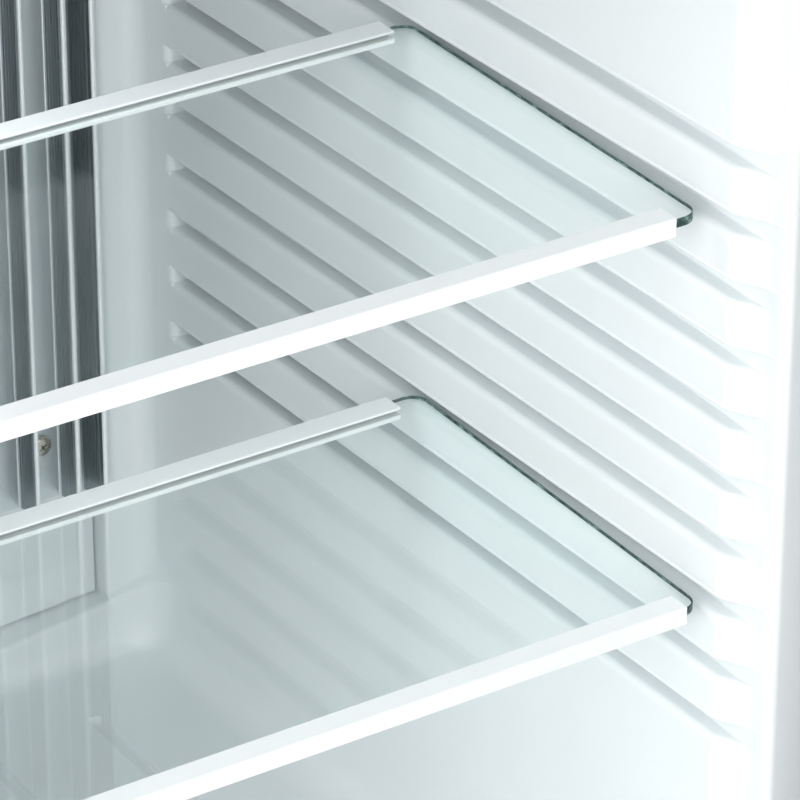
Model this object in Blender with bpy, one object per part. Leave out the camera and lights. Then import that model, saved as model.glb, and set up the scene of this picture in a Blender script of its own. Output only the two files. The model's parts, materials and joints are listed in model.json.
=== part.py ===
"""Minibar fridge with its door standing open, in metres, +Z up, front towards -Y.

The origin is the centre of the underside of the cabinet's base pan. The door, the shelves,
the door racks, the front feet and the thermostat knob are separate moving pieces.
"""
import math

import bmesh
import bpy
from mathutils import Matrix, Vector

# Gaps, how far a cutter reaches past what it cuts, and sheet gauges
CLEAR = 0.0003
PAST = 0.010
CAP_WELD = 0.00001
SHELL_SHEET = 0.0010
BASE_SHEET = 0.0015
LINER_WALL = 0.0020

# Cabinet
CABINET_WIDTH = 0.470
CABINET_DEPTH = 0.410
CABINET_HEIGHT = 0.545
SIDE_WALL = 0.035
TOP_WALL = 0.035
FLOOR_WALL = 0.038
BACK_WALL = 0.0565
FRONT_LIP = 0.012

# Liner cavity: it narrows towards the back, and steps in behind a flared mouth
DRAFT_RATIO = 0.0315
MOUTH_RADIUS = 0.003
LAND_DEPTH = 0.010
LAND_STEP = 0.0007
FLARE_DEPTH = 0.010
FLARE_STEP = 0.006
CORNER_RADIUS = 0.012
BACK_FILLET = 0.008

# Shelf grooves, counted from the lowest
GROOVE_COUNT = 10
GROOVE_PITCH = 0.022
GROOVE_HEIGHT = 0.0065
GROOVE_BACK_STEP = 0.0004
GROOVE_FRONT = 0.0035
GROOVE_EDGE = 0.0015
GROOVE_END = 0.008
GROOVE_REAR_GAP = 0.0195
LOWEST_LEDGE = 0.1335
LOWER_SHELF_GROOVE = 2
UPPER_SHELF_GROOVE = 8

# Shelves
GLASS_THICKNESS = 0.003
GLASS_DEPTH = 0.1593
GLASS_CORNER = 0.006
GLASS_LEFT_PLAY = 0.0022
GLASS_RIGHT_PLAY = 0.0090
TRIM_RIGHT_INSET = 0.0098
TRIM_LEFT_INSET = 0.0150
TRIM_LIP = 0.0010
TRIM_FOOT = 0.0018
TRIM_WEB = 0.0010
FRONT_TRIM_DEPTH = 0.0083
REAR_TRIM_DEPTH = 0.0092
UPPER_SHELF_SETBACK = 0.0313
LOWER_SHELF_SETBACK = 0.0248
UPPER_REAR_TRIM_SHIFT = 0.0011
UPPER_REAR_TRIM_SLACK = 0.0020
LOWER_FRONT_TRIM_SHIFT = 0.0039
LOWER_REAR_TRIM_SHIFT = -0.0018

# Cold plate and the recess that holds it
FIN_PITCH = 0.0168
FINS_EACH_SIDE = 9
END_FIN_PITCH = 0.0114
END_FIN_ROOT = 0.0023
FIN_THICKNESS = 0.00185
FIN_DEPTH = 0.0131
PLATE_THICKNESS = 0.0020
PLATE_BOTTOM = 0.0803
PLATE_TOP = 0.470
FIN_BOTTOM = 0.112
RECESS_DEPTH = 0.0089
RECESS_MARGIN = 0.0008
GUTTER_HEIGHT = 0.0655
GUTTER_FALL = 0.0175
LEDGE_HEIGHT = 0.0663
LEDGE_RISE = 0.0045
LEDGE_DEPTH = 0.003
SCREW_HEAD_RADIUS = 0.0042
SCREW_HEAD_HEIGHT = 0.0018
SCREW_SHANK_RADIUS = 0.0018
PLATE_SCREW_LENGTH = 0.0075
PLATE_SCREW_FIN_GAP = 8.5
PLATE_SCREW_LOW = 0.1348
PLATE_SCREW_HIGH = 0.385

# Drain
DRAIN_BORE = 0.0040
DRAIN_WALL = 0.0015
DRAIN_HEIGHT = 0.0535
DRAIN_REACH = 0.012

# Drain slots in the floor
FLOOR_SLOTS_EACH_SIDE = 3
FLOOR_SLOT_PITCH = 0.0452
FLOOR_SLOT_WIDTH = 0.0050
FLOOR_SLOT_DEPTH = 0.0014
FLOOR_SLOT_FRONT = 0.030
FLOOR_SLOT_REAR_GAP = 0.0385

# Door, described as it stands when closed
DOOR_GAP = 0.010
DOOR_THICKNESS = 0.062
DOOR_MARGIN = 0.004
DOOR_CAP = 0.012
DOOR_RETURN = 0.010
DOOR_REST_ANGLE = 90.0
HINGE_FROM_SIDE = 0.014
HINGE_FROM_BACK = 0.017
POCKET_FROM_OPENING = 0.022
POCKET_DEPTH = 0.032
POCKET_BOTTOM = 0.068
POCKET_FROM_TOP = 0.063
DYKE_WIDTH = 0.010
DYKE_REACH = 0.012
GASKET_WIDTH = 0.014
GASKET_FROM_OPENING = 0.004

# Door racks
RACK_WALL = 0.0025
RACK_SIDE_GAP = 0.0010
RACK_REACH = 0.022
RACK_HEIGHT = 0.055
DEEP_RACK_REACH = 0.042
DEEP_RACK_HEIGHT = 0.070
LOWER_RACK_RISE = 0.017
UPPER_RACK_DROP = 0.097
CLEAT_WIDTH = 0.005
CLEAT_HEIGHT = 0.006
CLEAT_DEPTH = 0.020

# Handle
HANDLE_RADIUS = 0.006
HANDLE_STAND_OFF = 0.030
HANDLE_LENGTH = 0.180
HANDLE_BEND = 0.016
HANDLE_FROM_EDGE = 0.024
HANDLE_CENTRE = 0.360

# Hinges
HINGE_PLATE_THICKNESS = 0.003
HINGE_PLATE_WIDTH = 0.083
HINGE_PLATE_BACK = 0.048
HINGE_PLATE_NOSE = 0.018
PIN_RADIUS = 0.004
PIN_HEAD_RADIUS = 0.007
PIN_HEAD_HEIGHT = 0.002
BUSH_WALL = 0.0022
HINGE_SCREW_SPACING = 0.040
HINGE_SCREW_FROM_FRONT = 0.022
HINGE_SCREW_FROM_END = 0.018
HINGE_SCREW_LENGTH = 0.012
HINGE_COVER_WALL = 0.0020
HINGE_COVER_HEIGHT = 0.011
HINGE_COVER_GAP = 0.001

# Feet
FOOT_RADIUS = 0.017
FOOT_HEIGHT = 0.016
FOOT_STEM_RADIUS = 0.004
FOOT_STEM_LENGTH = 0.018
FOOT_FROM_SIDE = 0.045
FRONT_FOOT_SETBACK = 0.078
REAR_FOOT_SETBACK = 0.035

# Stiffening bead round the base pan's centre
BEAD_WIDTH = 0.006
BEAD_DEPTH = 0.0006
BEAD_FROM_SIDE = 0.085
BEAD_FROM_FRONT = 0.065

# Lamp and thermostat housing under the ceiling
HOUSING_WIDTH = 0.150
HOUSING_DEPTH = 0.090
HOUSING_HEIGHT = 0.022
HOUSING_WALL = 0.002
HOUSING_BACK = 0.010
LENS_WIDTH = 0.054
LENS_DEPTH = 0.060
LENS_THICKNESS = 0.0025
LENS_OFFSET = -0.038
KNOB_RADIUS = 0.0095
KNOB_LENGTH = 0.010
KNOB_OFFSET = 0.042
KNOB_SHAFT_RADIUS = 0.003
KNOB_SHAFT_LENGTH = 0.010
KNOB_COLLAR = 0.0035
KNOB_GRIP = 0.002
THERMOSTAT_WIDTH = 0.034
THERMOSTAT_DEPTH = 0.030
THERMOSTAT_HEIGHT = 0.013
LED_BOARD_DEPTH = 0.040
LED_BOARD_THICKNESS = 0.0016

# Absorption cooling unit behind the cabinet
EVAPORATOR_HALF_WIDTH = 0.158
EVAPORATOR_THICKNESS = 0.003
EVAPORATOR_BOTTOM = 0.120
EVAPORATOR_TOP = 0.400
PIPE_FROM_SIDE = 0.030
PIPE_FROM_END = 0.025
PIPE_RETURN_INSET = 0.045
PIPE_RADIUS = 0.006
PIPE_BEND = 0.018
BOILER_RADIUS = 0.036
BOILER_X = -0.150
BOILER_BOTTOM = 0.055
BOILER_TOP = 0.335
HEATER_RADIUS = 0.007
HEATER_LENGTH = 0.150
HEATER_STUB = 0.018
VESSEL_RADIUS = 0.027
VESSEL_LEFT = 0.025
VESSEL_RIGHT = 0.185
VESSEL_HEIGHT = 0.052
COIL_START = 0.060
COIL_LEFT = -0.085
COIL_RIGHT = 0.100
COIL_RUNS = 4
COIL_PITCH = 0.042
COIL_FALL = 0.004
COIL_RISE = 0.028
CONDENSER_HEIGHT = 0.468
CONDENSER_FINS = 16
CONDENSER_FIN_PITCH = 0.013
CONDENSER_FIN_SHEET = 0.0010
CONDENSER_FIN_HEIGHT = 0.050
CONDENSER_FIN_DEPTH = 0.036
CONDENSER_LEFT = -0.090
TRAY_LEFT = -0.105
TRAY_RIGHT = 0.015
TRAY_BOTTOM = 0.018
TRAY_DEPTH = 0.046
TRAY_HEIGHT = 0.018
TRAY_WALL = 0.0015
BRACKET_X = 0.010
BRACKET_WIDTH = 0.018
BRACKET_FOOT = 0.010
BRACKET_SHEET = 0.0015
BRACKET_BOTTOM = 0.090
BRACKET_TOP = 0.290

# Mains box
MAINS_BOX_WIDTH = 0.062
MAINS_BOX_HEIGHT = 0.080
MAINS_BOX_DEPTH = 0.036
MAINS_BOX_X = 0.187
MAINS_BOX_BOTTOM = 0.290
MAINS_BOX_WALL = 0.002
INLET_WIDTH = 0.028
INLET_HEIGHT = 0.022
INLET_SOCKET_WIDTH = 0.023
INLET_SOCKET_HEIGHT = 0.016
INLET_SOCKET_DEPTH = 0.013
INLET_LENGTH = 0.018
INLET_RISE = 0.018
INLET_PROUD = 0.001

# Places that follow from the sizes above
FRONT_Y = -CABINET_DEPTH / 2
REAR_Y = CABINET_DEPTH / 2
BACK_Y = REAR_Y - BACK_WALL
HALF_WIDTH = CABINET_WIDTH / 2
OPENING_HALF_WIDTH = HALF_WIDTH - SIDE_WALL
FLOOR_Z = FLOOR_WALL + FLARE_STEP
DOOR_BACK_Y = FRONT_Y - DOOR_GAP
DOOR_FRONT_Y = DOOR_BACK_Y - DOOR_THICKNESS
POCKET_HALF_WIDTH = OPENING_HALF_WIDTH - POCKET_FROM_OPENING
POCKET_TOP = CABINET_HEIGHT - POCKET_FROM_TOP
LOWER_RACK_Z = POCKET_BOTTOM + LOWER_RACK_RISE
UPPER_RACK_Z = POCKET_TOP - UPPER_RACK_DROP
RACK_HEIGHTS = {"lower": LOWER_RACK_Z, "middle": (LOWER_RACK_Z + UPPER_RACK_Z) / 2, "upper": UPPER_RACK_Z}
HINGE_X = HALF_WIDTH - HINGE_FROM_SIDE
HINGE_Y = DOOR_BACK_Y - HINGE_FROM_BACK
PLATE_BACK_Y = BACK_Y + RECESS_DEPTH - CLEAR
PLATE_FRONT_Y = PLATE_BACK_Y - PLATE_THICKNESS
PLATE_HALF_WIDTH = FINS_EACH_SIDE * FIN_PITCH + END_FIN_PITCH + FIN_THICKNESS / 2
RECESS_HALF_WIDTH = PLATE_HALF_WIDTH + RECESS_MARGIN
UNIT_FRONT_Y = REAR_Y + CLEAR

FINISHES = {
    "white_steel": ((0.90, 0.91, 0.91), 0.35, 0.0, 1.0),
    "galvanised_steel": ((0.62, 0.64, 0.66), 0.45, 0.9, 1.0),
    "white_plastic": ((0.88, 0.91, 0.92), 0.32, 0.0, 1.0),
    "white_trim": ((0.93, 0.95, 0.95), 0.30, 0.0, 1.0),
    "foam": ((0.93, 0.88, 0.66), 0.9, 0.0, 1.0),
    "shelf_glass": ((0.78, 0.92, 0.88), 0.05, 0.0, 0.35),
    "clear_plastic": ((0.86, 0.92, 0.93), 0.15, 0.0, 0.6),
    "aluminium": ((0.72, 0.76, 0.78), 0.38, 0.9, 1.0),
    "zinc_screw": ((0.66, 0.64, 0.60), 0.32, 0.9, 1.0),
    "gasket_rubber": ((0.80, 0.82, 0.83), 0.6, 0.0, 1.0),
    "grey_plastic": ((0.35, 0.37, 0.39), 0.5, 0.0, 1.0),
    "black_plastic": ((0.05, 0.05, 0.055), 0.5, 0.0, 1.0),
    "black_steel": ((0.06, 0.06, 0.065), 0.55, 0.2, 1.0),
    "circuit_board": ((0.10, 0.30, 0.16), 0.5, 0.0, 1.0),
}


def clear_scene():
    for old in list(bpy.data.objects):
        bpy.data.objects.remove(old, do_unlink=True)


def new_collection(name):
    collection = bpy.data.collections.new(name)
    bpy.context.scene.collection.children.link(collection)
    return collection


def finish_material(name):
    """The Principled material of one finish, made the first time it is asked for."""
    found = bpy.data.materials.get(name)
    if found:
        return found
    colour, roughness, metallic, alpha = FINISHES[name]
    made = bpy.data.materials.new(name)
    made.use_nodes = True
    shader = made.node_tree.nodes["Principled BSDF"]
    shader.inputs["Base Color"].default_value = (*colour, 1.0)
    shader.inputs["Roughness"].default_value = roughness
    shader.inputs["Metallic"].default_value = metallic
    shader.inputs["Alpha"].default_value = alpha
    made.diffuse_color = (*colour, alpha)
    return made


# Shapes, each returned as a bmesh

def box_shape(low, high):
    shape = bmesh.new()
    bmesh.ops.create_cube(shape, size=1.0)
    low = Vector(low)
    size = Vector(high) - low
    bmesh.ops.scale(shape, vec=size, verts=shape.verts)
    bmesh.ops.translate(shape, vec=low + size / 2, verts=shape.verts)
    return shape


def cylinder_shape(start, end, radius, sides=24):
    shape = bmesh.new()
    start = Vector(start)
    along = Vector(end) - start
    turn = along.to_track_quat("Z", "Y").to_matrix().to_4x4()
    bmesh.ops.create_cone(shape, cap_ends=True, segments=sides, radius1=radius, radius2=radius,
                          depth=along.length,
                          matrix=Matrix.Translation(start + along / 2) @ turn)
    return shape


def prism_shape(outline, axis, low, high):
    """A flat outline pushed along an axis; the outline gives the other two coordinates in order."""
    shape = bmesh.new()
    places = []
    for first, second in outline:
        place = [first, second]
        place.insert("XYZ".index(axis), low)
        places.append(shape.verts.new(place))
    face = shape.faces.new(places)
    pushed = bmesh.ops.extrude_face_region(shape, geom=[face])
    moved = [item for item in pushed["geom"] if isinstance(item, bmesh.types.BMVert)]
    way = Vector((0, 0, 0))
    way["XYZ".index(axis)] = high - low
    bmesh.ops.translate(shape, vec=way, verts=moved)
    bmesh.ops.recalc_face_normals(shape, faces=shape.faces)
    return shape


def loft_shape(rings):
    """A closed skin through rings that have the same number of points."""
    shape = bmesh.new()
    rows = [[shape.verts.new(point) for point in ring] for ring in rings]
    count = len(rows[0])
    for near, far in zip(rows, rows[1:]):
        for index in range(count):
            after = (index + 1) % count
            shape.faces.new((near[index], near[after], far[after], far[index]))
    shape.faces.new(rows[0])
    shape.faces.new(rows[-1])
    bmesh.ops.recalc_face_normals(shape, faces=shape.faces)
    return shape


def together(shapes):
    """Several closed shapes in one bmesh, for cutters and for shapes that don't touch."""
    whole = bmesh.new()
    for shape in shapes:
        part = bpy.data.meshes.new("part")
        shape.to_mesh(part)
        shape.free()
        whole.from_mesh(part)
        bpy.data.meshes.remove(part)
    return whole


def make_object(name, shape, collection):
    mesh = bpy.data.meshes.new(name)
    shape.to_mesh(mesh)
    shape.free()
    made = bpy.data.objects.new(name, mesh)
    collection.objects.link(made)
    return made


def piece(name, shape, finish, smooth=False):
    """One sub-part of the fridge, with its finish."""
    made = make_object(name, shape, PARTS)
    made.data.materials.append(finish_material(finish))
    if smooth:
        made.data.shade_smooth()
        made.data.set_sharp_from_angle(angle=math.radians(35))
    return made


def change(target, shape, operation, hinge=None):
    """Cut a shape out of a piece, or join it on, with a Boolean modifier."""
    tool = make_object(f"{target.name}_tool_{len(target.modifiers)}", shape, TOOLS)
    tool.hide_render = True
    tool.display_type = "WIRE"
    if hinge:
        hang(tool, hinge)
    modifier = target.modifiers.new(operation.lower(), "BOOLEAN")
    modifier.operation = operation
    modifier.solver = "EXACT"
    modifier.object = tool
    return target


def cut(target, *shapes, hinge=None):
    return change(target, together(shapes), "DIFFERENCE", hinge)


def join(target, *shapes, hinge=None):
    return change(target, together(shapes), "UNION", hinge)


def carved(shape, cutter):
    """One shape less another, as a bmesh again, for a cutter that is itself cut."""
    body = make_object("carved", shape, TOOLS)
    cut(body, cutter)
    depsgraph = bpy.context.evaluated_depsgraph_get()
    mesh = bpy.data.meshes.new_from_object(body.evaluated_get(depsgraph))
    result = bmesh.new()
    result.from_mesh(mesh)
    bpy.data.objects.remove(body.modifiers[0].object, do_unlink=True)
    bpy.data.objects.remove(body, do_unlink=True)
    bpy.data.meshes.remove(mesh)
    return result


def tube(name, points, radius, finish):
    """A round tube with closed ends through the points."""
    curve = bpy.data.curves.new(name, "CURVE")
    curve.dimensions = "3D"
    curve.bevel_depth = radius
    curve.bevel_resolution = 2
    curve.use_fill_caps = True
    spline = curve.splines.new("POLY")
    spline.points.add(len(points) - 1)
    for target, point in zip(spline.points, points):
        target.co = (*point, 1.0)
    made = bpy.data.objects.new(name, curve)
    made.data.materials.append(finish_material(finish))
    PARTS.objects.link(made)
    return made


def solid_tube(name, points, radius, finish):
    """The same tube as a mesh, for tubes that other shapes are joined to."""
    made = tube(name, points, radius, finish)
    depsgraph = bpy.context.evaluated_depsgraph_get()
    mesh = bpy.data.meshes.new_from_object(made.evaluated_get(depsgraph))
    shape = bmesh.new()
    shape.from_mesh(mesh)
    bmesh.ops.remove_doubles(shape, verts=shape.verts, dist=CAP_WELD)
    bpy.data.objects.remove(made, do_unlink=True)
    bpy.data.meshes.remove(mesh)
    return piece(name, shape, finish, smooth=True)


def rounded_path(corners, radius, steps=4):
    """The corners of a path with each inner corner turned into an arc."""
    points = [Vector(corners[0])]
    for before, here, after in zip(corners, corners[1:], corners[2:]):
        here = Vector(here)
        back = (Vector(before) - here).normalized()
        onward = (Vector(after) - here).normalized()
        half = back.angle(onward) / 2
        reach = radius / math.tan(half)
        middle = here + (back + onward).normalized() * (radius / math.sin(half))
        start = here + back * reach - middle
        end = here + onward * reach - middle
        whole = start.angle(end)
        for step in range(steps + 1):
            part = step / steps
            swing = (start * math.sin((1 - part) * whole) + end * math.sin(part * whole)) / math.sin(whole)
            points.append(middle + swing)
    points.append(Vector(corners[-1]))
    return points


def hang(thing, hinge):
    """Move a mesh's origin to an empty and parent it there, so it turns with the empty."""
    thing.data.transform(Matrix.Translation(-hinge.location))
    thing.parent = hinge
    return thing


def joint_empty(name, place, turn=0.0):
    empty = bpy.data.objects.new(name, None)
    empty.location = place
    empty.rotation_euler = (0, 0, math.radians(turn))
    PARTS.objects.link(empty)
    return empty


# Liner cavity

def draft_at(y):
    return DRAFT_RATIO * (y - FRONT_Y)


def groove_back_x():
    """Half width at the back of the grooves, which run parallel while the walls close in."""
    return OPENING_HALF_WIDTH - GROOVE_BACK_STEP


def wall_x(y):
    return OPENING_HALF_WIDTH - draft_at(y) - FLARE_STEP


def ceiling_z(y):
    return CABINET_HEIGHT - TOP_WALL - draft_at(y) - FLARE_STEP


def ledge_z(groove):
    return FLOOR_Z + LOWEST_LEDGE + groove * GROOVE_PITCH


def cavity_ring(y, step, grow, radius, parallel_sides=False, arc_steps=4):
    """A rounded rectangle round the cavity at depth y, step in from the mouth's plane."""
    half = OPENING_HALF_WIDTH - step + grow
    if not parallel_sides:
        half -= draft_at(y)
    low = FLOOR_WALL + step - grow
    high = CABINET_HEIGHT - TOP_WALL - draft_at(y) - step + grow
    ring = []
    corners = ((half, high, 0), (-half, high, 90), (-half, low, 180), (half, low, 270))
    for x, z, first in corners:
        centre_x = x - math.copysign(radius, x)
        centre_z = z - radius if z == high else z + radius
        for index in range(arc_steps + 1):
            angle = math.radians(first + 90 * index / arc_steps)
            ring.append((centre_x + radius * math.cos(angle), y, centre_z + radius * math.sin(angle)))
    return ring


def cavity_shape():
    """The air inside the liner, from in front of the flange to the back wall."""
    rings = [cavity_ring(FRONT_Y - PAST, -MOUTH_RADIUS, 0, CORNER_RADIUS)]
    for angle in (0, 30, 60, 90):
        turn = math.radians(angle)
        rings.append(cavity_ring(FRONT_Y + MOUTH_RADIUS * (1 - math.cos(turn)),
                                 -MOUTH_RADIUS * (1 - math.sin(turn)), 0, CORNER_RADIUS))
    rings.append(cavity_ring(FRONT_Y + LAND_DEPTH, LAND_STEP, 0, CORNER_RADIUS))
    rings.append(cavity_ring(FRONT_Y + LAND_DEPTH + FLARE_DEPTH, FLARE_STEP, 0, CORNER_RADIUS))
    for angle in (0, 30, 60, 90):
        turn = math.radians(angle)
        inset = BACK_FILLET * (1 - math.cos(turn))
        rings.append(cavity_ring(BACK_Y - BACK_FILLET * (1 - math.sin(turn)), FLARE_STEP + inset, 0,
                                 CORNER_RADIUS - inset / 2))
    return loft_shape(rings)


def liner_outer_shape(grow, start):
    """The outside of the liner's tub, which the foam follows; its sides back the parallel grooves."""
    outer_fillet = BACK_FILLET + FLARE_STEP + grow
    rings = [cavity_ring(start, 0, grow, CORNER_RADIUS + grow, parallel_sides=True)]
    for angle in (0, 45, 90):
        turn = math.radians(angle)
        inset = outer_fillet * (1 - math.cos(turn))
        rings.append(cavity_ring(BACK_Y + grow - outer_fillet * (1 - math.sin(turn)), inset, grow,
                                 CORNER_RADIUS + grow - inset / 4, parallel_sides=True))
    return loft_shape(rings)


def recess_shape(grow, front, back):
    """The recess behind the cold plate, whose floor falls to the drain in the middle."""
    outline = [(-RECESS_HALF_WIDTH - grow, GUTTER_HEIGHT - grow),
               (0, GUTTER_HEIGHT - GUTTER_FALL - grow),
               (RECESS_HALF_WIDTH + grow, GUTTER_HEIGHT - grow),
               (RECESS_HALF_WIDTH + grow, PLATE_TOP + RECESS_MARGIN + grow),
               (-RECESS_HALF_WIDTH - grow, PLATE_TOP + RECESS_MARGIN + grow)]
    return prism_shape(outline, "Y", front, back)


def ledge_shape():
    """The lower part of the back wall, which stands proud below a ledge that falls towards the recess."""
    half = wall_x(BACK_Y) + PAST
    slope = LEDGE_RISE / (wall_x(BACK_Y) - RECESS_HALF_WIDTH)
    inner = RECESS_HALF_WIDTH - LINER_WALL
    side = LEDGE_HEIGHT + slope * (half - RECESS_HALF_WIDTH)
    low = FLOOR_Z - PAST
    outline = [(-half, low), (half, low), (half, side), (inner, LEDGE_HEIGHT), (-inner, LEDGE_HEIGHT),
               (-half, side)]
    return prism_shape(outline, "Y", BACK_Y - LEDGE_DEPTH, BACK_Y + PAST)


def groove_shape(side, groove):
    """One shelf groove: a slot with an eased lower edge and a rounded rear end."""
    ledge = ledge_z(groove)
    lip = ledge + GROOVE_HEIGHT
    rear = BACK_Y - GROOVE_REAR_GAP - GROOVE_END
    stations = [(FRONT_Y + GROOVE_FRONT, 1.0)]
    for angle in (0, 30, 60, 80):
        turn = math.radians(angle)
        stations.append((rear + GROOVE_END * math.sin(turn), math.cos(turn)))
    rings = []
    for y, share in stations:
        inside = wall_x(y) - GROOVE_EDGE
        profile = [(groove_back_x(), ledge), (groove_back_x(), lip), (inside, lip),
                   (inside, ledge - 2 * GROOVE_EDGE), (wall_x(y) + GROOVE_EDGE, ledge)]
        rings.append([(side * (inside + (x - inside) * share), y, z) for x, z in profile])
    return loft_shape(rings)


def floor_slot_shape(number):
    """A shallow drain slot along the floor, with a round rear end."""
    x = number * FLOOR_SLOT_PITCH
    half = FLOOR_SLOT_WIDTH / 2
    front = FRONT_Y + FLOOR_SLOT_FRONT
    rear = BACK_Y - FLOOR_SLOT_REAR_GAP - half
    outline = [(x - half, front), (x + half, front)]
    for angle in (0, 45, 90, 135, 180):
        turn = math.radians(angle)
        outline.append((x + half * math.cos(turn), rear + half * math.sin(turn)))
    return prism_shape(outline, "Z", FLOOR_Z - FLOOR_SLOT_DEPTH, FLOOR_Z + FLOOR_SLOT_DEPTH)


def make_liner():
    flange_half = HALF_WIDTH - FRONT_LIP - CLEAR
    liner = piece("inner_liner",
                  box_shape((-flange_half, FRONT_Y, FRONT_LIP + CLEAR),
                            (flange_half, FRONT_Y + LINER_WALL, CABINET_HEIGHT - FRONT_LIP - CLEAR)),
                  "white_plastic")
    join(liner, liner_outer_shape(LINER_WALL, FRONT_Y + LINER_WALL / 2))
    join(liner, recess_shape(LINER_WALL, BACK_Y, BACK_Y + RECESS_DEPTH + LINER_WALL))
    cut(liner, carved(cavity_shape(), ledge_shape()))
    cut(liner, recess_shape(0, BACK_Y - LEDGE_DEPTH - LINER_WALL, BACK_Y + RECESS_DEPTH))
    cut(liner, *[groove_shape(side, groove) for side in (-1, 1) for groove in range(GROOVE_COUNT)])
    slots = range(-FLOOR_SLOTS_EACH_SIDE, FLOOR_SLOTS_EACH_SIDE + 1)
    cut(liner, *[floor_slot_shape(number) for number in slots])
    back = BACK_Y + RECESS_DEPTH + LINER_WALL + PAST
    cut(liner, cylinder_shape((0, BACK_Y, DRAIN_HEIGHT), (0, back, DRAIN_HEIGHT), DRAIN_BORE, 16),
        *[cylinder_shape((x, BACK_Y, z), (x, back, z), SCREW_SHANK_RADIUS + CLEAR, 12)
          for x, z in plate_screw_places().values()])


# Cabinet

def hinge_screw_places():
    """Where the two screws of each hinge plate go, in X and Y."""
    x = HALF_WIDTH - HINGE_PLATE_WIDTH + HINGE_SCREW_FROM_END
    y = FRONT_Y + HINGE_SCREW_FROM_FRONT
    return {"inner": (x, y), "outer": (x + HINGE_SCREW_SPACING, y)}


def foot_places():
    x = HALF_WIDTH - FOOT_FROM_SIDE
    return {"front_foot_left": (-x, FRONT_Y + FRONT_FOOT_SETBACK),
            "front_foot_right": (x, FRONT_Y + FRONT_FOOT_SETBACK),
            "rear_foot_left": (-x, REAR_Y - REAR_FOOT_SETBACK),
            "rear_foot_right": (x, REAR_Y - REAR_FOOT_SETBACK)}


def stem_holes(low, high, radius):
    return [cylinder_shape((x, y, low), (x, y, high), radius, 16) for x, y in foot_places().values()]


def make_shell():
    inside = HALF_WIDTH - SHELL_SHEET
    window = HALF_WIDTH - FRONT_LIP
    shell = piece("outer_shell", box_shape((-HALF_WIDTH, FRONT_Y, 0), (HALF_WIDTH, REAR_Y, CABINET_HEIGHT)),
                  "white_steel")
    cut(shell, box_shape((-inside, FRONT_Y + SHELL_SHEET, -PAST),
                         (inside, REAR_Y + PAST, CABINET_HEIGHT - SHELL_SHEET)))
    cut(shell, box_shape((-window, FRONT_Y - PAST, -PAST),
                         (window, FRONT_Y + SHELL_SHEET + CLEAR, CABINET_HEIGHT - FRONT_LIP)))
    cut(shell, *[cylinder_shape((x, y, CABINET_HEIGHT - PAST), (x, y, CABINET_HEIGHT + PAST),
                                SCREW_SHANK_RADIUS + CLEAR, 12) for x, y in hinge_screw_places().values()])


def make_base():
    half = HALF_WIDTH - SHELL_SHEET - CLEAR
    outline = [(FRONT_Y, 0), (REAR_Y, 0), (REAR_Y, BASE_SHEET), (FRONT_Y + SHELL_SHEET, BASE_SHEET),
               (FRONT_Y + SHELL_SHEET, FRONT_LIP), (FRONT_Y, FRONT_LIP)]
    base = piece("base_pan", prism_shape(outline, "X", -half, half), "galvanised_steel")
    window = HALF_WIDTH - FRONT_LIP - CLEAR
    notch_y = FRONT_Y + SHELL_SHEET + CLEAR
    cut(base, box_shape((window, FRONT_Y - PAST, -PAST), (HALF_WIDTH + PAST, notch_y, FRONT_LIP + PAST)),
        box_shape((-HALF_WIDTH - PAST, FRONT_Y - PAST, -PAST), (-window, notch_y, FRONT_LIP + PAST)))
    x = HALF_WIDTH - BEAD_FROM_SIDE
    y = REAR_Y - BEAD_FROM_FRONT
    cut(base, box_shape((-x, -y, -PAST), (x, y, BEAD_DEPTH)))
    join(base, box_shape((-x + BEAD_WIDTH, -y + BEAD_WIDTH, 0),
                         (x - BEAD_WIDTH, y - BEAD_WIDTH, (BASE_SHEET + BEAD_DEPTH) / 2)))
    cut(base, *stem_holes(-PAST, PAST, FOOT_STEM_RADIUS + CLEAR),
        *[cylinder_shape((x, y, -PAST), (x, y, PAST), SCREW_SHANK_RADIUS + CLEAR, 12)
          for x, y in hinge_screw_places().values()])


def pipe_ports():
    """Where the evaporator's two pipe ends leave through the back, in X and Z."""
    right = EVAPORATOR_HALF_WIDTH - PIPE_FROM_SIDE
    return {"inlet": (right, EVAPORATOR_TOP - PIPE_FROM_END),
            "outlet": (right, EVAPORATOR_BOTTOM + PIPE_FROM_END)}


def rear_holes(start, end):
    """Holes for the drain spout and the evaporator's pipe ends, from start to end in Y."""
    return [cylinder_shape((0, start, DRAIN_HEIGHT), (0, end, DRAIN_HEIGHT),
                           DRAIN_BORE + DRAIN_WALL + CLEAR, 16)] + \
           [cylinder_shape((x, start, z), (x, end, z), PIPE_RADIUS + CLEAR, 16)
            for x, z in pipe_ports().values()]


def make_back_panel():
    half = HALF_WIDTH - SHELL_SHEET - CLEAR
    panel = piece("back_panel",
                  box_shape((-half, REAR_Y - SHELL_SHEET, BASE_SHEET + CLEAR),
                            (half, REAR_Y, CABINET_HEIGHT - SHELL_SHEET - CLEAR)), "galvanised_steel")
    cut(panel, *rear_holes(REAR_Y - PAST, REAR_Y + PAST))


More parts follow.
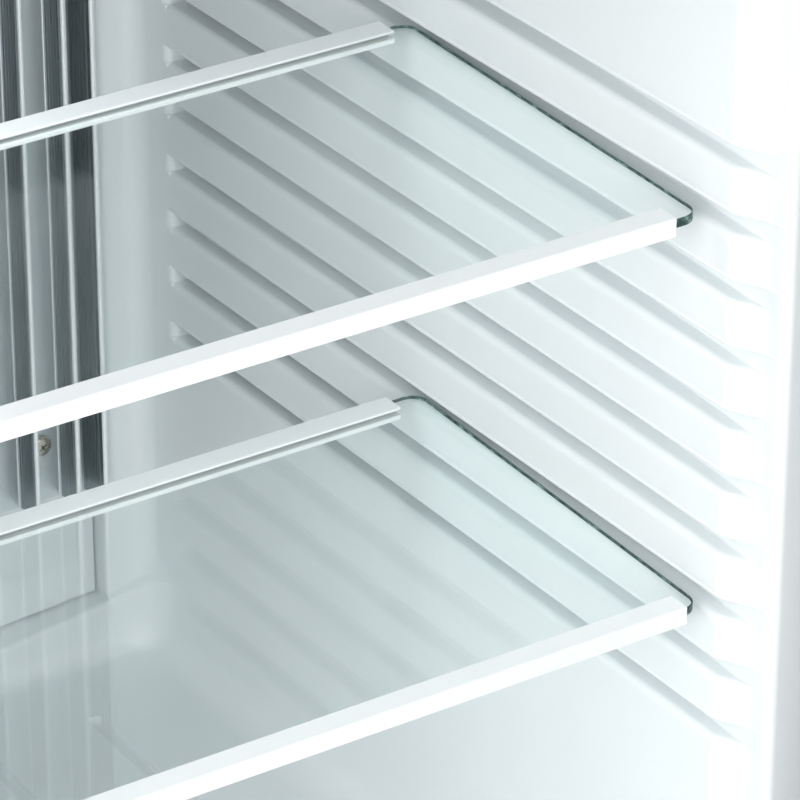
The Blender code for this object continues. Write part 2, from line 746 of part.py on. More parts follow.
def make_foam():
    half = HALF_WIDTH - SHELL_SHEET - CLEAR
    back = REAR_Y - SHELL_SHEET - CLEAR
    grow = LINER_WALL + CLEAR
    foam = piece("insulation_foam",
                 box_shape((-half, FRONT_Y + grow, BASE_SHEET + CLEAR),
                           (half, back, CABINET_HEIGHT - SHELL_SHEET - CLEAR)), "foam")
    cut(foam, liner_outer_shape(grow, FRONT_Y - PAST))
    cut(foam, recess_shape(grow, BACK_Y - PAST, BACK_Y + RECESS_DEPTH + grow))
    pocket = EVAPORATOR_HALF_WIDTH + CLEAR
    front = evaporator_front_y() - CLEAR
    cut(foam, box_shape((-pocket, front, EVAPORATOR_BOTTOM - CLEAR),
                        (pocket, evaporator_back_y() + 2 * PIPE_RADIUS + 2 * CLEAR,
                         EVAPORATOR_TOP + CLEAR)))
    cut(foam, *[box_shape((x - PIPE_BEND - PIPE_RADIUS - CLEAR, front, z - PIPE_RADIUS - CLEAR),
                          (x + PIPE_RADIUS + CLEAR, REAR_Y, z + PIPE_RADIUS + CLEAR))
                for x, z in pipe_ports().values()])
    cut(foam, *rear_holes(BACK_Y, REAR_Y + PAST))
    cut(foam, *stem_holes(-PAST, FOOT_STEM_LENGTH + CLEAR, FOOT_STEM_RADIUS + CLEAR))
    bore = SCREW_SHANK_RADIUS + CLEAR
    depth = HINGE_SCREW_LENGTH + CLEAR
    cut(foam, *[cylinder_shape((x, y, z - depth), (x, y, z + depth), bore, 12)
                for x, y in hinge_screw_places().values() for z in (0, CABINET_HEIGHT)])


def screw_shape_parts(place, way, length, head_radius=SCREW_HEAD_RADIUS, head_height=SCREW_HEAD_HEIGHT):
    """A pan head and a shank; way points from the head's seat into the hole."""
    place = Vector(place)
    way = Vector(way)
    head = cylinder_shape(place - way * head_height, place, head_radius, 20)
    shank = cylinder_shape(place - way * head_height / 2, place + way * length, SCREW_SHANK_RADIUS, 12)
    return head, shank


def make_screw(name, place, way, length):
    head, shank = screw_shape_parts(place, way, length)
    screw = piece(name, head, "zinc_screw", smooth=True)
    join(screw, shank)
    top = Vector(place) - Vector(way) * SCREW_HEAD_HEIGHT
    across = Vector(way).orthogonal().normalized()
    for arm in (across, across.cross(Vector(way))):
        wide = arm * (SCREW_HEAD_RADIUS * 0.55)
        narrow = arm.cross(Vector(way)) * (SCREW_HEAD_RADIUS * 0.12)
        deep = Vector(way) * (SCREW_HEAD_HEIGHT * 0.45)
        corners = [top + wide + narrow, top - wide + narrow, top - wide - narrow, top + wide - narrow]
        rings = [[corner + deep for corner in corners], [corner - deep for corner in corners]]
        cut(screw, loft_shape(rings))
    return screw


def make_feet():
    for name, (x, y) in foot_places().items():
        foot = piece(name, cylinder_shape((x, y, -FOOT_HEIGHT), (x, y, -CLEAR), FOOT_RADIUS, 24),
                     "grey_plastic", smooth=True)
        join(foot, cylinder_shape((x, y, -FOOT_HEIGHT / 2), (x, y, FOOT_STEM_LENGTH), FOOT_STEM_RADIUS, 16))


# Cold plate

def plate_screw_places():
    """The cold plate's four screws, between fins, in X and Z."""
    x = PLATE_SCREW_FIN_GAP * FIN_PITCH
    return {"lower_left": (-x, PLATE_SCREW_LOW), "lower_right": (x, PLATE_SCREW_LOW),
            "upper_left": (-x, PLATE_SCREW_HIGH), "upper_right": (x, PLATE_SCREW_HIGH)}


def fin_places():
    inner = [index * FIN_PITCH for index in range(-FINS_EACH_SIDE, FINS_EACH_SIDE + 1)]
    outer = FINS_EACH_SIDE * FIN_PITCH + END_FIN_PITCH
    return [-outer] + inner + [outer]


def make_cold_plate():
    """An extruded plate: the profile's fins point forward, cut short above its bottom edge."""
    tip = PLATE_FRONT_Y - FIN_DEPTH
    outline = [(-PLATE_HALF_WIDTH, PLATE_BACK_Y)]
    first, last = fin_places()[0], fin_places()[-1]
    for place in fin_places():
        left = place - FIN_THICKNESS / 2
        right = place + FIN_THICKNESS / 2
        if place > first:
            root = END_FIN_ROOT if place == last else 0
            outline.append((left - root, PLATE_FRONT_Y))
        outline += [(left, tip), (right, tip)]
        if place < last:
            root = END_FIN_ROOT if place == first else 0
            outline.append((right + root, PLATE_FRONT_Y))
    outline.append((PLATE_HALF_WIDTH, PLATE_BACK_Y))
    plate = piece("cold_plate", prism_shape(outline, "Z", PLATE_BOTTOM, PLATE_TOP), "aluminium")
    cut(plate, box_shape((-PLATE_HALF_WIDTH - PAST, tip - PAST, PLATE_BOTTOM - PAST),
                         (PLATE_HALF_WIDTH + PAST, PLATE_FRONT_Y, FIN_BOTTOM)))
    cut(plate, *[cylinder_shape((x, PLATE_FRONT_Y - PAST, z), (x, PLATE_BACK_Y + PAST, z),
                                SCREW_SHANK_RADIUS + CLEAR, 12) for x, z in plate_screw_places().values()])
    for corner, (x, z) in plate_screw_places().items():
        make_screw(f"cold_plate_screw_{corner}", (x, PLATE_FRONT_Y - CLEAR, z), (0, 1, 0),
                   PLATE_SCREW_LENGTH)


def make_drain():
    start = BACK_Y + RECESS_DEPTH + LINER_WALL + CLEAR
    end = REAR_Y + DRAIN_REACH
    spout = piece("drain_spout", cylinder_shape((0, start, DRAIN_HEIGHT), (0, end, DRAIN_HEIGHT),
                                                DRAIN_BORE + DRAIN_WALL, 16), "grey_plastic", smooth=True)
    cut(spout, cylinder_shape((0, start - PAST, DRAIN_HEIGHT), (0, end + PAST, DRAIN_HEIGHT),
                              DRAIN_BORE, 16))


# Shelves

def glass_left():
    """The glass lies drawn to the left in its grooves, so most of the play is on its right."""
    return GLASS_LEFT_PLAY - groove_back_x()


def glass_right():
    return groove_back_x() - GLASS_RIGHT_PLAY


def glass_shape(front, bottom):
    left, right, back = glass_left(), glass_right(), front + GLASS_DEPTH
    outline = []
    corners = ((right, back, 0), (left, back, 90), (left, front, 180), (right, front, 270))
    for x, y, first in corners:
        centre_x = x - GLASS_CORNER if x == right else x + GLASS_CORNER
        centre_y = y - GLASS_CORNER if y == back else y + GLASS_CORNER
        for index in range(6):
            angle = math.radians(first + 18 * index)
            outline.append((centre_x + GLASS_CORNER * math.cos(angle),
                            centre_y + GLASS_CORNER * math.sin(angle)))
    return prism_shape(outline, "Z", bottom, bottom + GLASS_THICKNESS)


def trim_outline(web_y, facing, depth, bottom):
    """A channel that grips the glass edge: its web stands at web_y, its lips reach along facing."""
    low = bottom - CLEAR - TRIM_FOOT
    high = bottom + GLASS_THICKNESS + CLEAR + TRIM_LIP
    inner = web_y + facing * TRIM_WEB
    end = web_y + facing * depth
    return [(web_y, low), (end, low), (end, low + TRIM_FOOT), (inner, low + TRIM_FOOT),
            (inner, high - TRIM_LIP), (end, high - TRIM_LIP), (end, high), (web_y, high)]


def make_shelf(level, groove, setback, front_shift, rear_shift, rear_slack):
    """Glass with a trim on its front and rear edges; the shifts are how far each trim has slid."""
    front = FRONT_Y + setback
    bottom = ledge_z(groove) + CLEAR
    slide = joint_empty(f"{level}_shelf_slide", (0, front, bottom))
    hang(piece(f"{level}_shelf_glass", glass_shape(front, bottom), "shelf_glass"), slide)
    left = glass_left() + TRIM_LEFT_INSET
    right = glass_right() - TRIM_RIGHT_INSET
    front_outline = trim_outline(front - CLEAR - TRIM_WEB, 1, FRONT_TRIM_DEPTH, bottom)
    back = front + GLASS_DEPTH
    rear_outline = trim_outline(back + CLEAR + rear_slack + TRIM_WEB, -1, REAR_TRIM_DEPTH, bottom)
    hang(piece(f"{level}_shelf_front_trim",
               prism_shape(front_outline, "X", left + front_shift, right + front_shift), "white_trim"), slide)
    hang(piece(f"{level}_shelf_rear_trim",
               prism_shape(rear_outline, "X", left + rear_shift, right + rear_shift), "white_trim"), slide)


# Lamp and thermostat under the ceiling

def housing_top():
    return ceiling_z(HOUSING_BACK) - CLEAR


def make_lamp_and_thermostat():
    top = housing_top()
    bottom = top - HOUSING_HEIGHT
    front = HOUSING_BACK - HOUSING_DEPTH
    half = HOUSING_WIDTH / 2
    housing = piece("control_housing", box_shape((-half, front, bottom), (half, HOUSING_BACK, top)),
                    "white_plastic")
    cut(housing, box_shape((-half + HOUSING_WALL, front + HOUSING_WALL, bottom + HOUSING_WALL),
                           (half - HOUSING_WALL, HOUSING_BACK - HOUSING_WALL, top + PAST)))
    middle = (front + HOUSING_BACK) / 2
    window = (LENS_OFFSET - LENS_WIDTH / 2 + HOUSING_WALL, LENS_OFFSET + LENS_WIDTH / 2 - HOUSING_WALL)
    cut(housing, box_shape((window[0], middle - LENS_DEPTH / 2 + HOUSING_WALL, bottom - PAST),
                           (window[1], middle + LENS_DEPTH / 2 - HOUSING_WALL, bottom + PAST)))
    knob_z = bottom + HOUSING_HEIGHT / 2
    bore = KNOB_SHAFT_RADIUS + CLEAR
    body_front = front + HOUSING_WALL + CLEAR
    before = (KNOB_OFFSET, front - PAST, knob_z)
    cut(housing, cylinder_shape(before, (KNOB_OFFSET, body_front, knob_z), bore, 16))
    lens_bottom = bottom + HOUSING_WALL + CLEAR
    piece("lamp_lens", box_shape((LENS_OFFSET - LENS_WIDTH / 2, middle - LENS_DEPTH / 2, lens_bottom),
                                 (LENS_OFFSET + LENS_WIDTH / 2, middle + LENS_DEPTH / 2,
                                  lens_bottom + LENS_THICKNESS)), "clear_plastic")
    board_bottom = lens_bottom + LENS_THICKNESS + CLEAR
    piece("led_board", box_shape((LENS_OFFSET - LENS_WIDTH / 2 + HOUSING_WALL, middle - LED_BOARD_DEPTH / 2,
                                  board_bottom),
                                 (LENS_OFFSET + LENS_WIDTH / 2 - HOUSING_WALL, middle + LED_BOARD_DEPTH / 2,
                                  board_bottom + LED_BOARD_THICKNESS)), "circuit_board")
    body_low = bottom + HOUSING_WALL + CLEAR
    body = piece("thermostat_body",
                 box_shape((KNOB_OFFSET - THERMOSTAT_WIDTH / 2, body_front, body_low),
                           (KNOB_OFFSET + THERMOSTAT_WIDTH / 2, body_front + THERMOSTAT_DEPTH,
                            body_low + THERMOSTAT_HEIGHT)), "grey_plastic")
    shaft_end = front + KNOB_SHAFT_LENGTH
    cut(body, cylinder_shape(before, (KNOB_OFFSET, shaft_end + CLEAR, knob_z), bore, 16))
    axis = joint_empty("thermostat_knob_axis", (KNOB_OFFSET, front - CLEAR, knob_z))
    knob_back = front - CLEAR
    knob_face = (KNOB_OFFSET, knob_back - KNOB_LENGTH, knob_z)
    grip = cylinder_shape(knob_face, (KNOB_OFFSET, knob_back, knob_z), KNOB_RADIUS, 24)
    knob = piece("thermostat_knob", grip, "white_trim", smooth=True)
    hang(knob, axis)
    shaft_start = (KNOB_OFFSET, knob_back - KNOB_COLLAR / 2, knob_z)
    join(knob, cylinder_shape(shaft_start, (KNOB_OFFSET, shaft_end, knob_z), KNOB_SHAFT_RADIUS, 16), hinge=axis)
    face = knob_back - KNOB_LENGTH - CLEAR
    collar = knob_back - KNOB_COLLAR
    reach = KNOB_RADIUS + CLEAR
    sides = ((-reach, -KNOB_GRIP), (KNOB_GRIP, reach))
    cut(knob, *[box_shape((KNOB_OFFSET + left, face, knob_z - reach),
                          (KNOB_OFFSET + right, collar, knob_z + reach)) for left, right in sides], hinge=axis)


# Door, modelled closed and hung on the hinge axis

def door_bottom():
    return DOOR_MARGIN


def door_top():
    return CABINET_HEIGHT - DOOR_MARGIN


def make_door_skin(hinge):
    low = door_bottom() + DOOR_CAP + CLEAR
    high = door_top() - DOOR_CAP - CLEAR
    inside = HALF_WIDTH - SHELL_SHEET
    panel = piece("door_panel", box_shape((-HALF_WIDTH, DOOR_FRONT_Y, low), (HALF_WIDTH, DOOR_BACK_Y, high)),
                  "white_steel")
    hang(panel, hinge)
    cut(panel, box_shape((-inside, DOOR_FRONT_Y + SHELL_SHEET, low - PAST),
                         (inside, DOOR_BACK_Y - SHELL_SHEET, high + PAST)), hinge=hinge)
    mouth = HALF_WIDTH - DOOR_RETURN
    cut(panel, box_shape((-mouth, DOOR_BACK_Y - SHELL_SHEET - CLEAR, low - PAST),
                         (mouth, DOOR_BACK_Y + PAST, high + PAST)), hinge=hinge)


def make_door_caps(hinge):
    """End caps that close the door's skin and hold the hinge bushes."""
    bush_radius = PIN_RADIUS + CLEAR + BUSH_WALL
    ends = {"bottom": (door_bottom(), door_bottom() + DOOR_CAP), "top": (door_top() - DOOR_CAP, door_top())}
    for end, (low, high) in ends.items():
        cap = piece(f"door_cap_{end}", box_shape((-HALF_WIDTH, DOOR_FRONT_Y, low),
                                                 (HALF_WIDTH, DOOR_BACK_Y, high)), "white_plastic")
        hang(cap, hinge)
        cut(cap, cylinder_shape((HINGE_X, HINGE_Y, low - PAST), (HINGE_X, HINGE_Y, high + PAST),
                                bush_radius + CLEAR, 24), hinge=hinge)
        bush = piece(f"door_bush_{end}", cylinder_shape((HINGE_X, HINGE_Y, low), (HINGE_X, HINGE_Y, high),
                                                        bush_radius, 24), "grey_plastic", smooth=True)
        hang(bush, hinge)
        cut(bush, cylinder_shape((HINGE_X, HINGE_Y, low - PAST), (HINGE_X, HINGE_Y, high + PAST),
                                 PIN_RADIUS + CLEAR, 24), hinge=hinge)


def pocket_box(grow, back, front):
    half = POCKET_HALF_WIDTH + grow
    return box_shape((-half, back, POCKET_BOTTOM - grow), (half, front, POCKET_TOP + grow))


def make_door_liner(hinge):
    """The door's inner skin: a flange, a pocket for the racks and the dykes round the pocket."""
    low = door_bottom() + DOOR_CAP + CLEAR
    high = door_top() - DOOR_CAP - CLEAR
    half = HALF_WIDTH - DOOR_RETURN - CLEAR
    rim_y = DOOR_BACK_Y + DYKE_REACH
    pocket_y = DOOR_BACK_Y - POCKET_DEPTH
    liner = piece("door_liner", box_shape((-half, DOOR_BACK_Y - LINER_WALL, low), (half, DOOR_BACK_Y, high)),
                  "white_plastic")
    hang(liner, hinge)
    join(liner, pocket_box(DYKE_WIDTH, DOOR_BACK_Y - LINER_WALL / 2, rim_y), hinge=hinge)
    cut(liner, pocket_box(DYKE_WIDTH - LINER_WALL, DOOR_BACK_Y - PAST, rim_y - LINER_WALL), hinge=hinge)
    join(liner, pocket_box(LINER_WALL, pocket_y - LINER_WALL, rim_y - LINER_WALL / 2), hinge=hinge)
    cut(liner, pocket_box(0, pocket_y, rim_y + PAST), hinge=hinge)
    cleats = []
    for height in RACK_HEIGHTS.values():
        for side in (-1, 1):
            outer = side * (POCKET_HALF_WIDTH + LINER_WALL / 2)
            inner = side * (POCKET_HALF_WIDTH - CLEAT_WIDTH)
            top = height - CLEAR
            cleats.append(box_shape((min(outer, inner), pocket_y - LINER_WALL / 2, top - CLEAT_HEIGHT),
                                    (max(outer, inner), pocket_y + CLEAT_DEPTH, top)))
    join(liner, *cleats, hinge=hinge)


def make_door_foam(hinge):
    low = door_bottom() + DOOR_CAP + CLEAR
    high = door_top() - DOOR_CAP - CLEAR
    half = HALF_WIDTH - SHELL_SHEET - CLEAR
    foam = piece("door_foam", box_shape((-half, DOOR_FRONT_Y + SHELL_SHEET + CLEAR, low),
                                        (half, DOOR_BACK_Y - LINER_WALL - CLEAR, high)), "foam")
    hang(foam, hinge)
    cut(foam, pocket_box(LINER_WALL + CLEAR, DOOR_BACK_Y - POCKET_DEPTH - LINER_WALL - CLEAR,
                         DOOR_BACK_Y + PAST), hinge=hinge)


def make_gasket(hinge):
    """The magnetic seal between the door and the cabinet's flange."""
    inner_half = OPENING_HALF_WIDTH + GASKET_FROM_OPENING
    low = FLOOR_WALL - GASKET_FROM_OPENING
    high = CABINET_HEIGHT - TOP_WALL + GASKET_FROM_OPENING
    front = DOOR_BACK_Y + CLEAR
    back = FRONT_Y - CLEAR
    gasket = piece("door_gasket", box_shape((-inner_half - GASKET_WIDTH, front, low - GASKET_WIDTH),
                                            (inner_half + GASKET_WIDTH, back, high + GASKET_WIDTH)),
                   "gasket_rubber")
    hang(gasket, hinge)
    cut(gasket, box_shape((-inner_half, front - PAST, low), (inner_half, back + PAST, high)), hinge=hinge)


def make_racks(hinge):
    pocket_y = DOOR_BACK_Y - POCKET_DEPTH
    for level, bottom in RACK_HEIGHTS.items():
        deep = level == "lower"
        reach = DEEP_RACK_REACH if deep else RACK_REACH
        height = DEEP_RACK_HEIGHT if deep else RACK_HEIGHT
        half = POCKET_HALF_WIDTH - RACK_SIDE_GAP
        back = DOOR_BACK_Y + reach
        rack = piece(f"{level}_door_rack", box_shape((-half, pocket_y + CLEAR, bottom),
                                                     (half, back, bottom + height)), "clear_plastic")
        hang(rack, hinge)
        cut(rack, box_shape((-half + RACK_WALL, pocket_y + CLEAR + RACK_WALL, bottom + RACK_WALL),
                            (half - RACK_WALL, back - RACK_WALL, bottom + height + PAST)), hinge=hinge)


def make_handle(hinge):
    x = -HALF_WIDTH + HANDLE_FROM_EDGE
    face = DOOR_FRONT_Y - CLEAR
    out = DOOR_FRONT_Y - HANDLE_STAND_OFF
    low = HANDLE_CENTRE - HANDLE_LENGTH / 2
    high = HANDLE_CENTRE + HANDLE_LENGTH / 2
    path = rounded_path([(x, face, low), (x, out, low), (x, out, high), (x, face, high)], HANDLE_BEND)
    hang(solid_tube("door_handle", path, HANDLE_RADIUS, "aluminium"), hinge)


def make_door():
    hinge = joint_empty("door_hinge_axis", (HINGE_X, HINGE_Y, 0), DOOR_REST_ANGLE)
    make_door_skin(hinge)
    make_door_caps(hinge)
    make_door_liner(hinge)
    make_door_foam(hinge)
    make_gasket(hinge)
    make_racks(hinge)
    make_handle(hinge)


# Hinges

def make_hinges():
    left = HALF_WIDTH - HINGE_PLATE_WIDTH
    right = HALF_WIDTH - HINGE_COVER_WALL
    nose = HINGE_Y - HINGE_PLATE_NOSE
    rear = FRONT_Y + HINGE_PLATE_BACK
    thickness = HINGE_PLATE_THICKNESS
    seats = {"top": (CABINET_HEIGHT + CLEAR, 1), "bottom": (-CLEAR, -1)}
    for end, (seat, up) in seats.items():
        outer = seat + up * thickness
        plate = piece(f"{end}_hinge_plate", box_shape((left, FRONT_Y, min(seat, outer)),
                                                      (right, rear, max(seat, outer))), "galvanised_steel")
        join(plate, box_shape((HINGE_X - HINGE_PLATE_NOSE, nose, min(seat, outer)),
                              (right, FRONT_Y + PAST, max(seat, outer))))
        cut(plate, cylinder_shape((HINGE_X, HINGE_Y, seat - PAST), (HINGE_X, HINGE_Y, seat + PAST),
                                  PIN_RADIUS + CLEAR, 24),
            *[cylinder_shape((x, y, seat - PAST), (x, y, seat + PAST), SCREW_SHANK_RADIUS + CLEAR, 12)
              for x, y in hinge_screw_places().values()])
        inner_end = door_top() - DOOR_CAP if up > 0 else door_bottom() + DOOR_CAP
        head = outer + up * CLEAR
        pin = piece(f"{end}_hinge_pin",
                    cylinder_shape((HINGE_X, HINGE_Y, head), (HINGE_X, HINGE_Y, head + up * PIN_HEAD_HEIGHT),
                                   PIN_HEAD_RADIUS, 24), "galvanised_steel", smooth=True)
        head_middle = head + up * PIN_HEAD_HEIGHT / 2
        join(pin, cylinder_shape((HINGE_X, HINGE_Y, inner_end), (HINGE_X, HINGE_Y, head_middle),
                                 PIN_RADIUS, 24))
        for place, (x, y) in hinge_screw_places().items():
            make_screw(f"{end}_hinge_screw_{place}", (x, y, head), (0, 0, -up), HINGE_SCREW_LENGTH)
    gap = HINGE_COVER_GAP
    wall = HINGE_COVER_WALL
    low = CABINET_HEIGHT + CLEAR
    top = low + HINGE_COVER_HEIGHT
    cover = piece("top_hinge_cover",
                  box_shape((left - gap - wall, nose - gap - wall, low),
                            (right + gap + wall, rear + gap + wall, top)),
                  "white_plastic")
    cut(cover, box_shape((left - gap, nose - gap, low - PAST), (right + gap, rear + gap, top - wall)))


# Absorption cooling unit

def evaporator_front_y():
    return BACK_Y + RECESS_DEPTH + LINER_WALL + CLEAR


def evaporator_back_y():
    return evaporator_front_y() + EVAPORATOR_THICKNESS


def make_evaporator():
    front = evaporator_front_y()
    plate = piece("evaporator_plate",
                  box_shape((-EVAPORATOR_HALF_WIDTH, front, EVAPORATOR_BOTTOM),
                            (EVAPORATOR_HALF_WIDTH, front + EVAPORATOR_THICKNESS, EVAPORATOR_TOP)),
                  "aluminium")
    cut(plate, *[cylinder_shape((x, front - PAST, z), (x, front + PAST, z), SCREW_SHANK_RADIUS + CLEAR, 12)
                 for x, z in plate_screw_places().values()])
    y = evaporator_back_y() + CLEAR + PIPE_RADIUS
    left = -EVAPORATOR_HALF_WIDTH + PIPE_FROM_SIDE
    ports = pipe_ports()
    right, high = ports["inlet"]
    low = ports["outlet"][1]
    end = REAR_Y + PIPE_RADIUS
    step = (high - low) / 3
    turn = right - PIPE_RETURN_INSET
    corners = [(right, end, high), (right, y, high), (left, y, high), (left, y, high - step),
               (turn, y, high - step), (turn, y, low + step), (left, y, low + step),
               (left, y, low), (right, y, low), (right, end, low)]
    tube("evaporator_pipe", rounded_path(corners, PIPE_BEND), PIPE_RADIUS, "black_steel")


def make_boiler():
    y = UNIT_FRONT_Y + BOILER_RADIUS
    can = piece("boiler_can", cylinder_shape((BOILER_X, y, BOILER_BOTTOM), (BOILER_X, y, BOILER_TOP),
                                             BOILER_RADIUS, 32), "galvanised_steel", smooth=True)
    cut(can, cylinder_shape((BOILER_X, y, BOILER_TOP - HEATER_LENGTH), (BOILER_X, y, BOILER_TOP + PAST),
                            HEATER_RADIUS + CLEAR, 20))
    piece("heater_cartridge", cylinder_shape((BOILER_X, y, BOILER_TOP - HEATER_LENGTH + CLEAR),
                                             (BOILER_X, y, BOILER_TOP + HEATER_STUB), HEATER_RADIUS, 20),
          "zinc_screw", smooth=True)


def make_absorber():
    """The vessel, the coil that climbs from it to the boiler, and the evaporator's return."""
    y = UNIT_FRONT_Y + VESSEL_RADIUS
    top = VESSEL_HEIGHT + VESSEL_RADIUS + CLEAR
    piece("absorber_vessel",
          cylinder_shape((VESSEL_LEFT, y, VESSEL_HEIGHT), (VESSEL_RIGHT, y, VESSEL_HEIGHT),
                                            VESSEL_RADIUS, 28), "black_steel", smooth=True)
    height = top + COIL_RISE
    corners = [(COIL_START, y, top), (COIL_START, y, height)]
    ends = (COIL_LEFT, COIL_RIGHT)
    for run in range(COIL_RUNS):
        height += COIL_FALL
        corners.append((ends[run % 2], y, height))
        height += COIL_PITCH
        corners.append((ends[run % 2], y, height))
    corners.append((BOILER_X + BOILER_RADIUS + CLEAR, y, height + COIL_FALL))
    tube("absorber_coil", rounded_path(corners, PIPE_BEND), PIPE_RADIUS, "black_steel")
    x, port_z = pipe_ports()["outlet"]
    start = REAR_Y + PIPE_RADIUS + CLEAR
    tube("return_pipe", rounded_path([(x, start, port_z), (x, y, port_z), (x, y, top)], y - start - CLEAR),
         PIPE_RADIUS, "black_steel")


def make_condenser():
    """A sloping pipe with pressed fins, fed by a riser beside the boiler."""
    y = UNIT_FRONT_Y + BOILER_RADIUS
    x, port_z = pipe_ports()["inlet"]
    riser_x = BOILER_X + BOILER_RADIUS * 0.55
    corners = [(riser_x, y, BOILER_TOP + CLEAR), (riser_x, y, CONDENSER_HEIGHT),
               (x, y, CONDENSER_HEIGHT - COIL_FALL), (x, y, port_z),
               (x, REAR_Y + PIPE_RADIUS + CLEAR, port_z)]
    condenser = solid_tube("condenser", rounded_path(corners, PIPE_BEND), PIPE_RADIUS, "black_steel")
    fins = []
    depth = CONDENSER_FIN_DEPTH
    height = CONDENSER_FIN_HEIGHT
    for index in range(CONDENSER_FINS):
        left = CONDENSER_LEFT + index * CONDENSER_FIN_PITCH
        fins.append(box_shape((left, y - depth / 2, CONDENSER_HEIGHT - height / 2),
                              (left + CONDENSER_FIN_SHEET, y + depth / 2, CONDENSER_HEIGHT + height / 2)))
    join(condenser, *fins)


def make_drip_tray():
    """An open tray on the back that catches the drain's water and lets it evaporate."""
    back = UNIT_FRONT_Y + TRAY_DEPTH
    high = TRAY_BOTTOM + TRAY_HEIGHT
    tray = piece("drip_tray", box_shape((TRAY_LEFT, UNIT_FRONT_Y, TRAY_BOTTOM), (TRAY_RIGHT, back, high)),
                 "grey_plastic")
    cut(tray, box_shape((TRAY_LEFT + TRAY_WALL, UNIT_FRONT_Y + TRAY_WALL, TRAY_BOTTOM + TRAY_WALL),
                        (TRAY_RIGHT - TRAY_WALL, back - TRAY_WALL, high + PAST)))


def make_coil_bracket():
    """A pressed channel on the back panel that the coil's runs lean on."""
    near = UNIT_FRONT_Y
    far = UNIT_FRONT_Y + VESSEL_RADIUS - PIPE_RADIUS - CLEAR
    inner = BRACKET_WIDTH / 2 - BRACKET_SHEET
    outer = BRACKET_WIDTH / 2
    foot = outer + BRACKET_FOOT
    right = [(foot, near), (foot, near + BRACKET_SHEET), (outer, near + BRACKET_SHEET), (outer, far)]
    hollow = [(inner, near), (inner, far - BRACKET_SHEET)]
    outline = hollow[::-1] + right
    outline = outline + [(-x, y) for x, y in outline[::-1]]
    outline = [(BRACKET_X + x, y) for x, y in outline]
    piece("coil_bracket", prism_shape(outline, "Z", BRACKET_BOTTOM, BRACKET_TOP), "galvanised_steel")


def make_mains_box():
    y = UNIT_FRONT_Y
    left = MAINS_BOX_X - MAINS_BOX_WIDTH / 2
    right = MAINS_BOX_X + MAINS_BOX_WIDTH / 2
    low = MAINS_BOX_BOTTOM
    high = low + MAINS_BOX_HEIGHT
    back = y + MAINS_BOX_DEPTH
    box = piece("mains_box", box_shape((left, y, low), (right, back, high)), "black_plastic")
    cut(box, box_shape((left + MAINS_BOX_WALL, y + MAINS_BOX_WALL, low + MAINS_BOX_WALL),
                       (right - MAINS_BOX_WALL, back + PAST, high - MAINS_BOX_WALL)))
    cover = piece("mains_box_cover", box_shape((left, back + CLEAR, low),
                                               (right, back + CLEAR + MAINS_BOX_WALL, high)), "black_plastic")
    inlet_low = low + INLET_RISE
    half = INLET_WIDTH / 2
    cut(cover, box_shape((MAINS_BOX_X - half - CLEAR, back - PAST, inlet_low - CLEAR),
                         (MAINS_BOX_X + half + CLEAR, back + PAST, inlet_low + INLET_HEIGHT + CLEAR)))
    outer = back + CLEAR + MAINS_BOX_WALL + INLET_PROUD
    inlet = piece("mains_inlet", box_shape((MAINS_BOX_X - half, outer - INLET_LENGTH, inlet_low),
                                           (MAINS_BOX_X + half, outer, inlet_low + INLET_HEIGHT)),
                  "black_plastic")
    socket = INLET_SOCKET_WIDTH / 2
    middle = inlet_low + INLET_HEIGHT / 2
    cut(inlet, box_shape((MAINS_BOX_X - socket, outer - INLET_SOCKET_DEPTH, middle - INLET_SOCKET_HEIGHT / 2),
                         (MAINS_BOX_X + socket, outer + PAST, middle + INLET_SOCKET_HEIGHT / 2)))


clear_scene()
PARTS = new_collection("minibar_fridge")
TOOLS = new_collection("cutters")
make_shell()
make_base()
make_back_panel()
make_foam()
make_liner()
make_feet()
make_cold_plate()
make_drain()
make_shelf("upper", UPPER_SHELF_GROOVE, UPPER_SHELF_SETBACK, 0, UPPER_REAR_TRIM_SHIFT, UPPER_REAR_TRIM_SLACK)
make_shelf("lower", LOWER_SHELF_GROOVE, LOWER_SHELF_SETBACK, LOWER_FRONT_TRIM_SHIFT, LOWER_REAR_TRIM_SHIFT, 0)
make_lamp_and_thermostat()
make_door()
make_hinges()
make_evaporator()
make_boiler()
make_absorber()
make_condenser()
make_drip_tray()
make_coil_bracket()
make_mains_box()
bpy.context.view_layer.update()
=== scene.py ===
import json
import math

import bmesh
import bpy
from mathutils import Matrix, Vector
from mathutils.geometry import tessellate_polygon


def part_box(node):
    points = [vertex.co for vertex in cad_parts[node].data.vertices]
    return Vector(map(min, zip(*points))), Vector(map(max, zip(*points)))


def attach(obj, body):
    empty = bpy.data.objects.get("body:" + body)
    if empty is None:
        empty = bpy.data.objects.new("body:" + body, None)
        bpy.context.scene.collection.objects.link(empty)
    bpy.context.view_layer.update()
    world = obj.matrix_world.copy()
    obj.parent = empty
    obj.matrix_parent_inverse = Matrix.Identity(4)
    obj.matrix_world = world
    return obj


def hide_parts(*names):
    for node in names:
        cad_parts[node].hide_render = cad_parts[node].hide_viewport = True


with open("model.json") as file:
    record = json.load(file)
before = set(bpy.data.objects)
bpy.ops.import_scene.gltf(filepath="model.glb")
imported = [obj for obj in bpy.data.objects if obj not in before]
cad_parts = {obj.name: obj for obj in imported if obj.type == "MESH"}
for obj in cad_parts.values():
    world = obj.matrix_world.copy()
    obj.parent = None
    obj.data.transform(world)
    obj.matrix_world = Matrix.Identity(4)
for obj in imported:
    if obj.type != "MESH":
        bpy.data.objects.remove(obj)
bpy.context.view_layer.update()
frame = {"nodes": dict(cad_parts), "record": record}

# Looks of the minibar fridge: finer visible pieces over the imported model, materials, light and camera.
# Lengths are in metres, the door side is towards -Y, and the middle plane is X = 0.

NODES = frame["nodes"]

